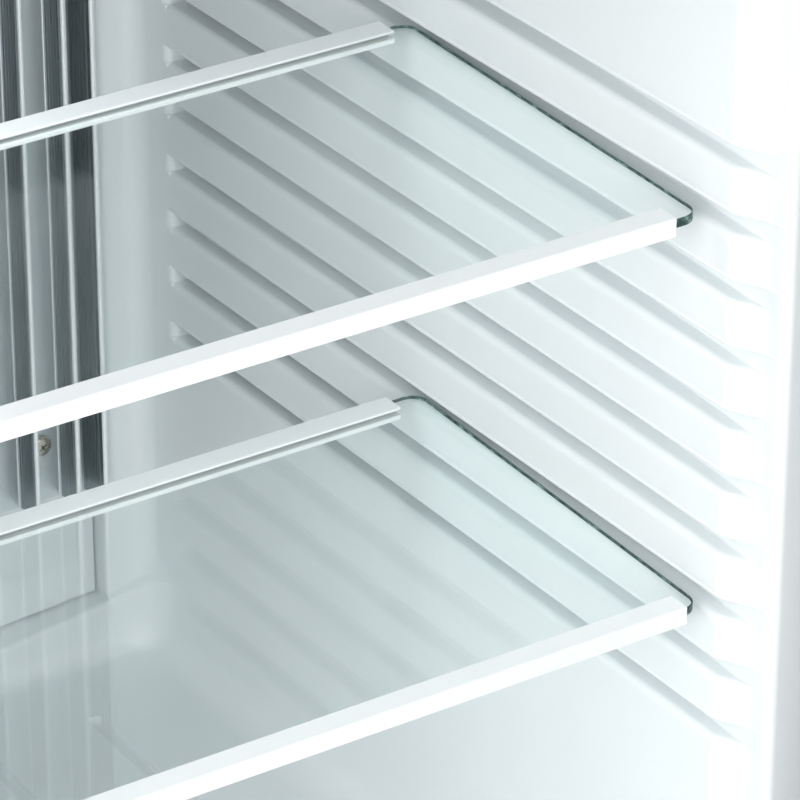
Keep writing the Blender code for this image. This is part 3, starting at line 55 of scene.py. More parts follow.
# Camera at the photograph's place: metres, a direction, degrees and millimetres
CAMERA_PLACE = Vector((-0.5938, -1.2216, 1.0203))
CAMERA_FORWARD = Vector((0.4748, 0.7334, -0.4865))
CAMERA_ROLL = 0.08
CAMERA_LENS = 222.98
SENSOR = 36.0


def low(node):
    """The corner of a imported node's box with the lowest coordinates."""
    return Vector(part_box(node)[0])


def high(node):
    """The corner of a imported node's box with the highest coordinates."""
    return Vector(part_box(node)[1])


# The liner's inside. Halves are measured from the middle plane.
FRONT_Y = low("outer_shell").y
OPENING_HALF = 0.200
CEILING_FRONT = 0.504
FLOOR_Z = 0.044
BACK_Y = 0.1485
DRAFT = 0.0315
LAND_END = FRONT_Y + 0.010  # the mouth's flat land, then its flare
FLARE_END = FRONT_Y + 0.020
LAND_STEP = 0.0007
FLARE_STEP = 0.006
MOUTH_RADIUS = 0.003
BEND_SOFTNESS = 0.0016
SOFTNESS_SAMPLES = 9
GROOVE_BACK = 0.1996  # the grooves' back plane, half width
GROOVE_REAR = 0.128
GROOVE_HEIGHT = 0.0065
GROOVE_PITCH = 0.022
GROOVE_COUNT = 10
GROOVE_LIP_BEAD = 0.00022
GROOVE_END_INNER_RADIUS = 0.0025
GROOVE_END_OUTER_RADIUS = 0.0032
LOWEST_GROOVE = 0.1775
CORNER = 0.012
BACK_FILLET = 0.008
LOW_BACK_FILLET = 0.016
LEDGE_DEPTH = 0.0032  # the step across the back wall, over the block behind the floor
LEDGE_AT_WALL = 0.0740
LEDGE_AT_RECESS = 0.0662
LEDGE_RUN = 0.0200
# The step's section: height above the ledge's line, and share of its depth
LEDGE_PROFILE = ((-0.0009, 0.0), (-0.0006, 0.05), (-0.0003, 0.14), (-0.0001, 0.24), (0.0, 0.34),
                 (0.0001, 0.66), (0.0002, 0.86), (0.0004, 0.96), (0.0007, 1.0))
LEDGE_STEPS = [-0.0050, -0.0035, -0.0025, -0.0018, -0.0013]
LEDGE_STEPS += [place for place, share in LEDGE_PROFILE]
LEDGE_STEPS += [0.0010, 0.0015, 0.0021, 0.0028, 0.0036, 0.0045, 0.0055, 0.0066, 0.0078, 0.0090]
SIDE_CHANGE_START = 0.0002
SIDE_CHANGE_END = 0.0078
WELL_BELOW, WELL_ABOVE = -1.0, 1.0
RECESS_DEPTH = 0.0075
RECESS_MOAT_DEPTH = 0.0095  # the narrow channel round the recess's back
RECESS_HALF = 0.1645
RECESS_TOP = 0.4710
RECESS_EDGE = 0.0020
GUTTER_SIDE = 0.0648
GUTTER_INNER_SIDE = 0.0637
GUTTER_MIDDLE = 0.0460
DRAIN_Z = 0.0535
DRAIN_RADIUS = 0.004
DRAIN_BORE = 0.002
SAME_PLACE = 0.00002
LINER_MERGE = 0.000004
FLOOR_SLOT_PITCH = 0.0452
FLOOR_SLOT_HALF = 0.0028
FLOOR_SLOT_INNER_HALF = 0.0019
FLOOR_SLOT_DEPTH = 0.0022
FLOOR_SLOT_FRONT = FRONT_Y + 0.030
FLOOR_SLOT_REAR = 0.110
FLOOR_SLOT_END = 0.0036
FLOOR_SLOTS_EACH_SIDE = 3

# The cold plate and its screws
FIN_PITCH = 0.0168
END_FIN_PITCH = 0.0114
END_FIN_ROOT = 0.0023
FINS_EACH_SIDE = 9
FIN_THICKNESS = 0.00185
FIN_TEETH = 5
FIN_TOOTH_DEPTH = 0.00042
FIN_FOOT = 0.0007
FIN_BOTTOM = 0.112
BASE_THICKNESS = 0.0020
FLAT_END_HALF = 0.157
FLAT_END_EASE = 0.0006
# The fins' sides take a darker copy of the aluminium as painted shade, and their tips a paler copy as a
# painted highlight
ALUMINIUM_SLOT, SHADED_FIN_SIDE_SLOT, HIGHLIT_FIN_TIP_SLOT, FLAT_END_SLOT = range(4)
SCREW_HEAD_RADIUS = 0.0042
SCREW_HEAD_HEIGHT = 0.0018
SCREW_SHANK_RADIUS = 0.0018
SCREW_STEPS = 40
SCREW_TWIST = 35

# The shelves
GLASS_CORNER = 0.006
GLASS_EDGE = 0.0004
CORNER_STEPS = 12
GLASS_SLOT, GLASS_EDGE_SLOT = 0, 1

# Light and floor
LIT_STRENGTH = 0.82
FLOOR_HALF = 4.0
FLOOR_GAP = 0.0002


# Materials

def new_material(name):
    made = bpy.data.materials.new(name)
    made.use_nodes = True
    return made, made.node_tree.nodes, made.node_tree.links, made.node_tree.nodes["Principled BSDF"]


def noise(nodes, links, coordinate, scale, detail=3.0, roughness=0.55):
    made = nodes.new("ShaderNodeTexNoise")
    made.inputs["Scale"].default_value = scale
    made.inputs["Detail"].default_value = detail
    made.inputs["Roughness"].default_value = roughness
    links.new(coordinate, made.inputs["Vector"])
    return made.outputs["Fac"]


def ramp(nodes, links, source, stops):
    made = nodes.new("ShaderNodeValToRGB")
    elements = made.color_ramp.elements
    while len(elements) < len(stops):
        elements.new(0.5)
    for element, (place, colour) in zip(elements, stops):
        element.position = place
        element.color = (*colour, 1.0)
    links.new(source, made.inputs["Fac"])
    return made.outputs["Color"]


def spread(nodes, links, source, from_low, from_high, to_low, to_high):
    made = nodes.new("ShaderNodeMapRange")
    made.inputs["From Min"].default_value = from_low
    made.inputs["From Max"].default_value = from_high
    made.inputs["To Min"].default_value = to_low
    made.inputs["To Max"].default_value = to_high
    links.new(source, made.inputs["Value"])
    return made.outputs["Result"]


def bump(nodes, links, source, strength, distance, shader):
    made = nodes.new("ShaderNodeBump")
    made.inputs["Strength"].default_value = strength
    made.inputs["Distance"].default_value = distance
    links.new(source, made.inputs["Height"])
    links.new(made.outputs["Normal"], shader.inputs["Normal"])


def shade(colour, factor):
    return tuple(min(1.0, value * factor) for value in colour)


def surface(name, colour, roughness, metallic=0.0, grain_scale=900.0, grain=0.05, grain_depth=0.00004,
            cloud_scale=9.0, cloud=0.03, roughness_spread=0.05, coat=0.0, stretch=None):
    """A surface with slow colour clouds, a fine grain in its bump and a varied roughness."""
    made, nodes, links, shader = new_material(name)
    coordinates = nodes.new("ShaderNodeTexCoord").outputs["Object"]
    if stretch:
        mapping = nodes.new("ShaderNodeMapping")
        mapping.inputs["Scale"].default_value = stretch
        links.new(coordinates, mapping.inputs["Vector"])
        fine_coordinates = mapping.outputs["Vector"]
    else:
        fine_coordinates = coordinates
    slow = noise(nodes, links, coordinates, cloud_scale, 4.0)
    tones = ((0.3, shade(colour, 1 - cloud)), (0.7, shade(colour, 1 + cloud / 2)))
    links.new(ramp(nodes, links, slow, tones), shader.inputs["Base Color"])
    fine = noise(nodes, links, fine_coordinates, grain_scale, 2.0)
    gloss = spread(nodes, links, fine, 0.3, 0.7, roughness - roughness_spread, roughness + roughness_spread)
    links.new(gloss, shader.inputs["Roughness"])
    bump(nodes, links, fine, grain, grain_depth, shader)
    shader.inputs["Metallic"].default_value = metallic
    shader.inputs["Coat Weight"].default_value = coat
    return made


def glass_material():
    """Clear glass with faint smears, a green tint in its depth and light shadows."""
    made, nodes, links, shader = new_material("clear_glass")
    coordinates = nodes.new("ShaderNodeTexCoord").outputs["Object"]
    smear = noise(nodes, links, coordinates, 14.0, 4.0)
    links.new(spread(nodes, links, smear, 0.35, 0.75, 0.0, 0.035), shader.inputs["Roughness"])
    shader.inputs["Base Color"].default_value = (0.962, 0.985, 0.983, 1.0)
    shader.inputs["Transmission Weight"].default_value = 1.0
    shader.inputs["IOR"].default_value = 1.52
    path = nodes.new("ShaderNodeLightPath")
    clear = nodes.new("ShaderNodeBsdfTransparent")
    clear.inputs["Color"].default_value = (0.925, 0.955, 0.953, 1.0)
    chosen = nodes.new("ShaderNodeMixShader")
    links.new(path.outputs["Is Shadow Ray"], chosen.inputs["Fac"])
    links.new(shader.outputs["BSDF"], chosen.inputs[1])
    links.new(clear.outputs["BSDF"], chosen.inputs[2])
    output = nodes["Material Output"]
    links.new(chosen.outputs["Shader"], output.inputs["Surface"])
    absorb = nodes.new("ShaderNodeVolumeAbsorption")
    absorb.inputs["Color"].default_value = (0.42, 0.80, 0.72, 1.0)
    absorb.inputs["Density"].default_value = 5.0
    links.new(absorb.outputs["Volume"], output.inputs["Volume"])
    return made


def glass_edge_material():
    """The shelves' ground edge, mottled from dark to pale green."""
    made, nodes, links, shader = new_material("ground_glass_edge")
    coordinates = nodes.new("ShaderNodeTexCoord").outputs["Object"]
    mottle = noise(nodes, links, coordinates, 330.0, 3.0)
    stops = ((0.42, (0.018, 0.055, 0.048)), (0.54, (0.055, 0.125, 0.108)), (0.68, (0.34, 0.50, 0.45)))
    links.new(ramp(nodes, links, mottle, stops), shader.inputs["Base Color"])
    links.new(spread(nodes, links, mottle, 0.3, 0.7, 0.22, 0.42), shader.inputs["Roughness"])
    bump(nodes, links, mottle, 0.2, 0.0001, shader)
    shader.inputs["Specular IOR Level"].default_value = 0.35
    return made


def clear_plastic_material():
    """The door racks' and the lamp lens's clear plastic, with a slight haze."""
    made, nodes, links, shader = new_material("clear_rack_plastic")
    coordinates = nodes.new("ShaderNodeTexCoord").outputs["Object"]
    haze = noise(nodes, links, coordinates, 30.0, 4.0)
    links.new(spread(nodes, links, haze, 0.3, 0.7, 0.06, 0.14), shader.inputs["Roughness"])
    links.new(ramp(nodes, links, haze, ((0.3, (0.93, 0.97, 0.975)), (0.7, (0.96, 0.985, 0.99)))),
              shader.inputs["Base Color"])
    shader.inputs["Transmission Weight"].default_value = 0.92
    shader.inputs["IOR"].default_value = 1.45
    return made


MATERIALS = {
    "liner": surface("liner_plastic", (0.822, 0.866, 0.880), 0.33, grain_scale=1400, grain=0.05, cloud=0.012,
                     grain_depth=0.00003),
    "trim": surface("trim_plastic", (0.93, 0.96, 0.968), 0.32, grain_scale=900, grain=0.015, cloud=0.01,
                    grain_depth=0.00002, roughness_spread=0.02),
    "door_lining": surface("door_liner_plastic", (0.66, 0.695, 0.705), 0.36, grain_scale=1400, grain=0.05,
                           cloud=0.012),
    "steel": surface("white_painted_steel", (0.64, 0.65, 0.655), 0.36, grain_scale=700, grain=0.10,
                     grain_depth=0.00006, coat=0.2, cloud=0.02),
    "cap": surface("cap_plastic", (0.62, 0.635, 0.64), 0.42, grain_scale=1100, grain=0.08, cloud=0.02),
    "zinc": surface("galvanised_sheet", (0.56, 0.58, 0.60), 0.42, 0.9, grain_scale=160, grain=0.05,
                    cloud_scale=60, cloud=0.18, roughness_spread=0.10),
    "aluminium": surface("extruded_aluminium", (0.74, 0.785, 0.80), 0.34, 0.85, grain_scale=500, grain=0.006,
                         cloud_scale=40, cloud=0.03, stretch=(6, 6, 0.15)),
    # Painted shade: a darker copy of the aluminium for the fins' sides
    "fin_side_painted_shade": surface("extruded_fin_side_painted_shade", (0.34, 0.38, 0.39), 0.30, 0.85, grain_scale=300, grain=0.006,
                        cloud_scale=40, cloud=0.04, stretch=(1, 6, 0.1)),
    # Painted highlight: a paler, glossier copy of the aluminium for the fins' rounded tips
    "fin_tip_painted_highlight": surface("extruded_fin_tip_painted_highlight", (0.93, 0.955, 0.96), 0.26, 0.30, grain_scale=500, grain=0.004,
                       cloud_scale=30, cloud=0.02, stretch=(6, 6, 0.1)),
    "flat_end": surface("lacquered_flat_end", (0.80, 0.845, 0.858), 0.34, 0.10, grain_scale=500, grain=0.03,
                        cloud_scale=30, cloud=0.02, stretch=(6, 6, 0.3)),
    "brushed": surface("brushed_aluminium", (0.66, 0.68, 0.70), 0.30, 0.95, grain_scale=900, grain=0.07,
                       cloud_scale=50, cloud=0.04, stretch=(8, 8, 0.1)),
    "screw": surface("zinc_plated_screw", (0.60, 0.56, 0.50), 0.28, 0.95, grain_scale=1500, grain=0.04,
                     cloud_scale=220, cloud=0.14),
    "gasket": surface("gasket_rubber", (0.74, 0.76, 0.77), 0.55, grain_scale=1600, grain=0.12, cloud=0.03),
    "grey": surface("grey_plastic", (0.22, 0.235, 0.25), 0.48, grain_scale=1300, grain=0.16, cloud=0.05),
    "black": surface("black_plastic", (0.018, 0.018, 0.02), 0.46, grain_scale=1300, grain=0.18, cloud=0.10),
    "paint": surface("black_painted_steel", (0.022, 0.022, 0.024), 0.50, 0.0, grain_scale=420, grain=0.14,
                     cloud_scale=26, cloud=0.20),
    "foam": surface("foam", (0.78, 0.68, 0.38), 0.85, grain_scale=420, grain=0.5, grain_depth=0.0004,
                    cloud=0.1),
    "board": surface("circuit_board", (0.03, 0.16, 0.07), 0.35, grain_scale=240, grain=0.1, cloud=0.12),
    "glass": glass_material(),
    "glass_edge": glass_edge_material(),
    "clear": clear_plastic_material(),
}


# Mesh helpers

def object_from(name, shape, material, body, smooth_angle=40, weighted=True):
    """A new piece from a bmesh, riding on a body."""
    mesh = bpy.data.meshes.new(name)
    shape.to_mesh(mesh)
    shape.free()
    made = bpy.data.objects.new(name, mesh)
    bpy.context.scene.collection.objects.link(made)
    mesh.materials.append(material)
    mesh.shade_smooth()
    mesh.set_sharp_from_angle(angle=math.radians(smooth_angle))
    if weighted:
        normals = made.modifiers.new("normals", "WEIGHTED_NORMAL")
        normals.mode = "FACE_AREA"
        normals.weight = 80
        normals.keep_sharp = True
    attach(made, body)
    return made


def body_named(node):
    """The body that a node rides on."""
    for name, nodes in frame["record"]["behaviour"]["bodies"].items():
        if node in nodes:
            return name
    return "root"


def refine(node, material, width, segments=3, angle=30):
    """The node's own shape with eased edges, in place of the node."""
    shape = bmesh.new()
    shape.from_mesh(NODES[node].data)
    bmesh.ops.remove_doubles(shape, verts=shape.verts, dist=SAME_PLACE)
    bmesh.ops.dissolve_limit(shape, angle_limit=math.radians(1.0), verts=shape.verts, edges=shape.edges)
    made = object_from(f"{node}_look", shape, material, body_named(node), weighted=False)
    if width:
        bevel = made.modifiers.new("eased", "BEVEL")
        bevel.width = width
        bevel.segments = segments
        bevel.limit_method = "ANGLE"
        bevel.angle_limit = math.radians(angle)
        bevel.harden_normals = True
        bevel.use_clamp_overlap = True
    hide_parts(node)


def skin(rows, closed_rows=False):
    """A sheet through rows of points that all have the same length."""
    shape = bmesh.new()
    grid = [[shape.verts.new(point) for point in row] for row in rows]
    for near, far in zip(grid, grid[1:]):
        count = len(near) if closed_rows else len(near) - 1
        for index in range(count):
            after = (index + 1) % len(near)
            shape.faces.new((near[index], near[after], far[after], far[index]))
    return shape


def arc(centre, radius, first, last, steps):
    """Points on an arc in a plane, from one angle in degrees to another."""
    points = []
    for index in range(steps + 1):
        angle = math.radians(first + (last - first) * index / steps)
        points.append((centre[0] + radius * math.cos(angle), centre[1] + radius * math.sin(angle)))
    return points


# Liner

def wall_x(y):
    """Half width between the side walls, with the flared mouth in soft steps."""
    plain = OPENING_HALF - FLARE_STEP - DRAFT * (y - FRONT_Y)
    land = OPENING_HALF - LAND_STEP * (y - FRONT_Y) / (LAND_END - FRONT_Y)
    if y >= FLARE_END:
        return plain
    if y <= LAND_END:
        return land
    share = (y - LAND_END) / (FLARE_END - LAND_END)
    start = OPENING_HALF - LAND_STEP
    end = OPENING_HALF - FLARE_STEP - DRAFT * (FLARE_END - FRONT_Y)
    return start + (end - start) * share


def softened_wall_x(y):
    """The wall's half width with the flare's two bends rounded."""
    total = 0.0
    for index in range(SOFTNESS_SAMPLES):
        offset = (index / (SOFTNESS_SAMPLES - 1) * 2 - 1) * BEND_SOFTNESS
        total += wall_x(max(FRONT_Y, y + offset))
    return total / SOFTNESS_SAMPLES


def mix(first, second, share):
    return first + (second - first) * share


def eased(value, start, end):
    """0 before start, 1 after end, and a soft step between them."""
    share = min(1.0, max(0.0, (value - start) / (end - start)))
    return share * share * (3 - 2 * share)


def groove_profile(wall, share):
    """One groove's outline at a station, from under its floor to above its upper lip, as (x, z)."""
    reach = max(0.0, GROOVE_BACK - wall) * share
    ease = min(0.0025, reach * 0.8)
    sharp = min(0.0003, reach * 0.2)
    inner = min(0.0008, reach * 0.2)
    back = wall + reach
    points = [(wall, -0.0042)]
    points += arc((wall + ease, -ease), ease, 180, 90, 7)
    points += arc((back - inner, inner), inner, -90, 0, 3)
    points += arc((back - inner, GROOVE_HEIGHT - inner), inner, 0, 90, 3)
    points += arc((wall + sharp, GROOVE_HEIGHT + sharp), sharp, 270, 180, 3)
    bead = GROOVE_LIP_BEAD * share
    points += [(wall - bead, GROOVE_HEIGHT + 0.0006), (wall - bead * 0.8, GROOVE_HEIGHT + 0.0009),
               (wall + bead * 0.9, GROOVE_HEIGHT + 0.0014), (wall + bead * 0.8, GROOVE_HEIGHT + 0.0017),
               (wall, GROOVE_HEIGHT + 0.0021), (wall, GROOVE_HEIGHT + 0.0032)]
    return points


def slot_depth(y):
    """How deep the floor's drain slots are at a station, with sloping ends."""
    front = eased(y, FLOOR_SLOT_FRONT, FLOOR_SLOT_FRONT + FLOOR_SLOT_END)
    rear = 1 - eased(y, FLOOR_SLOT_REAR - FLOOR_SLOT_END, FLOOR_SLOT_REAR)
    return FLOOR_SLOT_DEPTH * front * rear


def slot_width(y):
    """How wide the slots are there, as a share, with a round rear end."""
    past = max(0.0, y - (FLOOR_SLOT_REAR - FLOOR_SLOT_HALF)) / FLOOR_SLOT_HALF
    return math.sqrt(max(0.05, 1 - past * past))


def ledge_line(x):
    """The ledge's height, which falls from the side walls towards the recess."""
    share = min(1.0, max(0.0, (abs(x) - RECESS_HALF) / LEDGE_RUN))
    return mix(LEDGE_AT_RECESS, LEDGE_AT_WALL, share * share)


def ledge_step(above):
    """From 0 on the lower back wall's face to 1 on the upper one's, by the height above the ledge's line."""
    if above <= LEDGE_PROFILE[0][0]:
        return 0.0
    for (near, first), (far, second) in zip(LEDGE_PROFILE, LEDGE_PROFILE[1:]):
        if above <= far:
            return mix(first, second, (above - near) / (far - near))
    return 1.0


def lower_share(above, turn):
    """How far a point belongs to the lower back wall: a soft change at the side wall, a step behind."""
    return mix(1 - eased(above, SIDE_CHANGE_START, SIDE_CHANGE_END), 1 - ledge_step(above), turn)


class Row:
    """One ring of the liner's inner surface: a station, or a step round the fillet to the back wall."""

    def __init__(self, y, share=0.0, angle=0.0, mouth=0.0):
        turn = math.radians(angle)
        self.share = share
        self.turn = math.sin(turn)
        self.upper_y = y + BACK_FILLET * math.sin(turn)
        self.upper_inset = BACK_FILLET * (1 - math.cos(turn)) - mouth
        fillet_start = BACK_Y - BACK_FILLET
        low_start = BACK_Y - LEDGE_DEPTH - LOW_BACK_FILLET
        near = FLOOR_SLOT_REAR + 0.001
        squeezed = y if y < near else mix(near, low_start, (y - near) / (fillet_start - near))
        self.lower_y = squeezed + LOW_BACK_FILLET * math.sin(turn)
        floor_end = BACK_Y - LEDGE_DEPTH - BACK_FILLET
        self.floor_y = y if y < near else (mix(near, floor_end, (y - near) / (fillet_start - near))
                                           + BACK_FILLET * math.sin(turn))
        self.lower_inset = LOW_BACK_FILLET * (1 - math.cos(turn)) - mouth

    def wall_point(self, above):
        """A point on the right wall at a height above the ledge's line."""
        lower = lower_share(above, self.turn)
        y = mix(self.upper_y, self.lower_y, lower)
        return softened_wall_x(y) - mix(self.upper_inset, self.lower_inset, lower), y

    def flare(self, y):
        """How much the floor and the ceiling still open towards the mouth at a station."""
        drop = OPENING_HALF - softened_wall_x(y) - DRAFT * (y - FRONT_Y)
        return FLARE_STEP - min(FLARE_STEP, max(0.0, drop))

    def points(self):
        """The ring, from the right of the floor round the walls and the ceiling, and back along the floor."""
        floor_z = FLOOR_Z - self.flare(self.floor_y) + self.upper_inset
        ceiling_fall = DRAFT * (self.upper_y - FRONT_Y)
        ceiling_z = CEILING_FRONT + self.flare(self.upper_y) - ceiling_fall - self.upper_inset
        radius = CORNER - max(0.0, self.upper_inset) * 0.5
        right = []
        wall, y = self.wall_point(WELL_BELOW)
        floor_corner = arc((wall - radius, floor_z + radius), radius, 270, 360, 8)
        for index, (x, z) in enumerate(floor_corner):
            right.append((x, mix(self.floor_y, y, index / 8), z))
        for step in LEDGE_STEPS:
            wall, y = self.wall_point(step)
            right.append((wall, y, ledge_line(wall) + step))
        wall, y = self.wall_point(WELL_ABOVE)
        for groove in range(GROOVE_COUNT):
            bottom = LOWEST_GROOVE + groove * GROOVE_PITCH
            right += [(x, y, bottom + z) for x, z in groove_profile(wall, self.share)]
        right += [(x, y, z) for x, z in arc((wall - radius, ceiling_z - radius), radius, 0, 90, 8)]
        ring = right + [(-x, y, z) for x, y, z in reversed(right)]
        return ring + self.floor_points(floor_z)

    def floor_points(self, floor_z):
        """The floor's part of the ring, from left to right, with its drain slots."""
        depth = slot_depth(self.floor_y)
        width = slot_width(self.floor_y)
        points = []
        for number in range(-FLOOR_SLOTS_EACH_SIDE, FLOOR_SLOTS_EACH_SIDE + 1):
            middle = number * FLOOR_SLOT_PITCH
            half = FLOOR_SLOT_HALF * width
            inner = FLOOR_SLOT_INNER_HALF * width
            side = [(half + 0.0006, 0.0), (half + 0.0001, -0.06), (mix(half, inner, 0.25), -0.25),
                    (mix(half, inner, 0.75), -0.75), (inner * 0.96, -0.94), (inner * 0.7, -1.0)]
            points += [(middle - x, self.floor_y, floor_z + z * depth) for x, z in side]
            points += [(middle + x, self.floor_y, floor_z + z * depth) for x, z in reversed(side)]
        return points


def liner_rows():
    """Every ring from the mouth's rounding to the end of the back fillet."""
    rows = []
    for angle in (0, 18, 36, 54, 72, 90):
        turn = math.radians(angle)
        y = FRONT_Y + MOUTH_RADIUS * (1 - math.cos(turn))
        rows.append(Row(y, mouth=MOUTH_RADIUS * (1 - math.sin(turn))))
    stations = [FRONT_Y + 0.0036 + 0.0006 * index for index in range(35)]
    stations += [FRONT_Y + place for place in (0.029, 0.045, 0.070, 0.110, 0.160, 0.210, 0.260, 0.290)]
    stations += [FLOOR_SLOT_FRONT + FLOOR_SLOT_END * step / 5 for step in range(6)]
    stations += [FLOOR_SLOT_REAR - 0.0040 + 0.0004 * step for step in range(11)]
    rows += [Row(y, share=1.0) for y in sorted(stations)]
    depth = GROOVE_BACK - wall_x(GROOVE_REAR)
    inner = GROOVE_END_INNER_RADIUS
    outer = GROOVE_END_OUTER_RADIUS
    rows += [Row(0.118, share=1.0), Row(0.1245, share=1.0)]
    for angle in (0, 18, 35, 55, 75, 90):
        turn = math.radians(angle)
        share = 1 - inner * (1 - math.cos(turn)) / depth
        rows.append(Row(GROOVE_REAR - inner * (1 - math.sin(turn)), share=share))
    for angle in (0, 12, 24, 36, 48, 60, 75, 90):
        turn = math.radians(angle)
        share = outer * (1 - math.sin(turn)) / depth
        rows.append(Row(GROOVE_REAR + 0.00005 + outer * (1 - math.cos(turn)), share=share))
    for angle in (0, 8, 16, 24, 32, 40, 48, 56, 64, 72, 80, 90):
        rows.append(Row(BACK_Y - BACK_FILLET, angle=angle))
    return rows


def back_y(x, z):
    """The back wall's face at a point, above or below the ledge."""
    return BACK_Y - LEDGE_DEPTH * (1 - ledge_step(z - ledge_line(x)))


def gutter_outer(x):
    """The height of the gutter's edge in the back wall's face."""
    return mix(GUTTER_MIDDLE, GUTTER_SIDE, abs(x) / RECESS_HALF)


def gutter_inner(x):
    """The height of the gutter's edge at the recess's back."""
    return mix(GUTTER_MIDDLE, GUTTER_INNER_SIDE, min(1.0, (abs(x) / RECESS_HALF) ** 0.5))


def recess_target(x, z):
    """Where a point of the back fillet's end goes on the recess's outline, and which way is out there."""
    side = math.copysign(1, x)
    above = z - ledge_line(x)
    if above > 0.02:
        height = min(z, RECESS_TOP)
        if abs(x) > RECESS_HALF or z < RECESS_TOP:
            return (side * RECESS_HALF, height), (side, 1.0 if z > RECESS_TOP else 0.0)
        return (x, RECESS_TOP), (0.0, 1.0)
    if abs(x) >= RECESS_HALF:
        height = z - (ledge_line(x) - LEDGE_AT_RECESS) * (1 - eased(above, 0.006, 0.02))
        return (side * RECESS_HALF, max(height, GUTTER_SIDE)), (side, -1.0 if height <= GUTTER_SIDE else 0.0)
    return (x, gutter_outer(x)), (0.0, -1.0)


def recess_ring(targets, grow, depth, floor_share):
    """The recess's outline at a depth, grown outward, with its floor on the way to its inner edge."""
    ring = []
    for (x, z), (way_x, way_z) in targets:
        if z <= GUTTER_SIDE:
            z = mix(gutter_outer(x), gutter_inner(x), floor_share)
        ring.append((x + way_x * grow, BACK_Y + depth, z + way_z * grow))
    return ring


def make_liner():
    """The liner's inner skin: flange, mouth, walls with grooves, back wall, recess and its back."""
    rows = [row.points() for row in liner_rows()]
    flange = high("inner_liner")
    centre_z = (low("inner_liner").z + flange.z) / 2
    outer = []
    for x, y, z in rows[0]:
        share = max(abs(x) / flange.x, abs(z - centre_z) / (flange.z - centre_z), 0.0001)
        outer.append((x / share, y, centre_z + (z - centre_z) / share))
    lip = [(x * 0.9999, FRONT_Y + 0.002, centre_z + (z - centre_z) * 0.9999) for x, y, z in outer]
    rows = [lip, outer] + rows
    end = rows[-1]
    targets = [recess_target(x, z) for x, y, z in end]
    edge = RECESS_EDGE
    for share in (0.08, 0.2, 0.35, 0.5, 0.65, 0.8, 0.92, 1.0):
        row = []
        for (x, y, z), ((to_x, to_z), (way_x, way_z)) in zip(end, targets):
            new_x = mix(x, to_x + way_x * edge, share)
            new_z = mix(z, to_z + way_z * edge, share)
            row.append((new_x, back_y(new_x, new_z), new_z))
        rows.append(row)
    face = rows[-1]
    for angle in (18, 36, 54, 72, 90):
        turn = math.radians(angle)
        ring = recess_ring(targets, edge * (1 - math.sin(turn)), 0.0, 0.0)
        inward = edge * (1 - math.cos(turn))
        rows.append([(x, face[index][1] + inward, z) for index, (x, y, z) in enumerate(ring)])
    for depth, share in ((0.003, 0.3), (0.006, 0.65), (RECESS_MOAT_DEPTH, 1.0)):
        rows.append(recess_ring(targets, 0.0, depth, share))
    for grow, depth in ((-0.0007, RECESS_MOAT_DEPTH), (-0.0007, RECESS_DEPTH + 0.0004),
                        (-0.0008, RECESS_DEPTH + 0.0001), (-0.0011, RECESS_DEPTH)):
        rows.append(recess_ring(targets, grow, depth, 1.0))
    tub = skin(rows, closed_rows=True)
    fill_recess_back(tub, rows[-1])
    bmesh.ops.remove_doubles(tub, verts=tub.verts, dist=LINER_MERGE)
    bmesh.ops.dissolve_degenerate(tub, edges=tub.edges, dist=LINER_MERGE)
    bmesh.ops.recalc_face_normals(tub, faces=tub.faces)
    liner = object_from("liner_skin", tub, MATERIALS["liner"], "cabinet", smooth_angle=50)
    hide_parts("inner_liner")


def fill_recess_back(tub, ring):
    """The recess's flat back, with the drain's hole and its short bore."""
    outline = [ring[0]]
    for point in ring[1:]:
        if math.dist(point, outline[-1]) > SAME_PLACE:
            outline.append(point)
    if math.dist(outline[0], outline[-1]) < SAME_PLACE:
        outline.pop()
    depth = ring[0][1]
    hole = [(x, depth, z) for x, z in arc((0.0, DRAIN_Z), DRAIN_RADIUS, 0, 345, 23)]
    loops = [[Vector(point) for point in outline], [Vector(point) for point in hole]]
    corners = [tub.verts.new(point) for loop in loops for point in loop]
    for triangle in tessellate_polygon(loops):
        if len(set(triangle)) == 3:
            tub.faces.new([corners[index] for index in triangle])
    near = corners[len(outline):]
    far = [tub.verts.new((x, y + DRAIN_BORE, z)) for x, y, z in hole]
    for index in range(len(near)):
        after = (index + 1) % len(near)
        tub.faces.new((near[index], near[after], far[after], far[index]))


# Shelves

def rounded_plate(node, corner_radius, edge):
    """Flat glass with rounded corners and ground edges, in the node's box."""
    start, end = low(node), high(node)
    outline = []
    corners = ((end.x, end.y, 0), (start.x, end.y, 90), (start.x, start.y, 180), (end.x, start.y, 270))
    for x, y, first in corners:
        centre = (x - corner_radius if x == end.x else x + corner_radius,
                  y - corner_radius if y == end.y else y + corner_radius)
        outline += [(centre, math.radians(first + 90 * step / CORNER_STEPS))
                    for step in range(CORNER_STEPS + 1)]
    rings = []
    levels = ((start.z, edge), (start.z + edge * 0.3, edge * 0.3), (start.z + edge, 0.0),
              (end.z - edge, 0.0), (end.z - edge * 0.3, edge * 0.3), (end.z, edge))
    for z, inset in levels:
        rings.append([(centre[0] + (corner_radius - inset) * math.cos(angle),
                       centre[1] + (corner_radius - inset) * math.sin(angle), z) for centre, angle in outline])
    shape = skin(rings, closed_rows=True)
    shape.verts.ensure_lookup_table()
    count = len(outline)
    shape.faces.new(shape.verts[:count])
    shape.faces.new(shape.verts[-count:])
    bmesh.ops.recalc_face_normals(shape, faces=shape.faces)
    for face in shape.faces:
        face.material_index = GLASS_SLOT if abs(face.normal.z) > 0.95 else GLASS_EDGE_SLOT
    return shape


def make_shelves():
    for level in ("upper", "lower"):
        node = f"{level}_shelf_glass"
        glass = object_from(f"{node}_look", rounded_plate(node, GLASS_CORNER, GLASS_EDGE), MATERIALS["glass"],
                            f"{level}_shelf", smooth_angle=50)
        glass.data.materials.append(MATERIALS["glass_edge"])
        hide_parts(node)
        refine(f"{level}_shelf_front_trim", MATERIALS["trim"], 0.00035, 3)
        refine(f"{level}_shelf_rear_trim", MATERIALS["trim"], 0.0005, 3)


# Cold plate

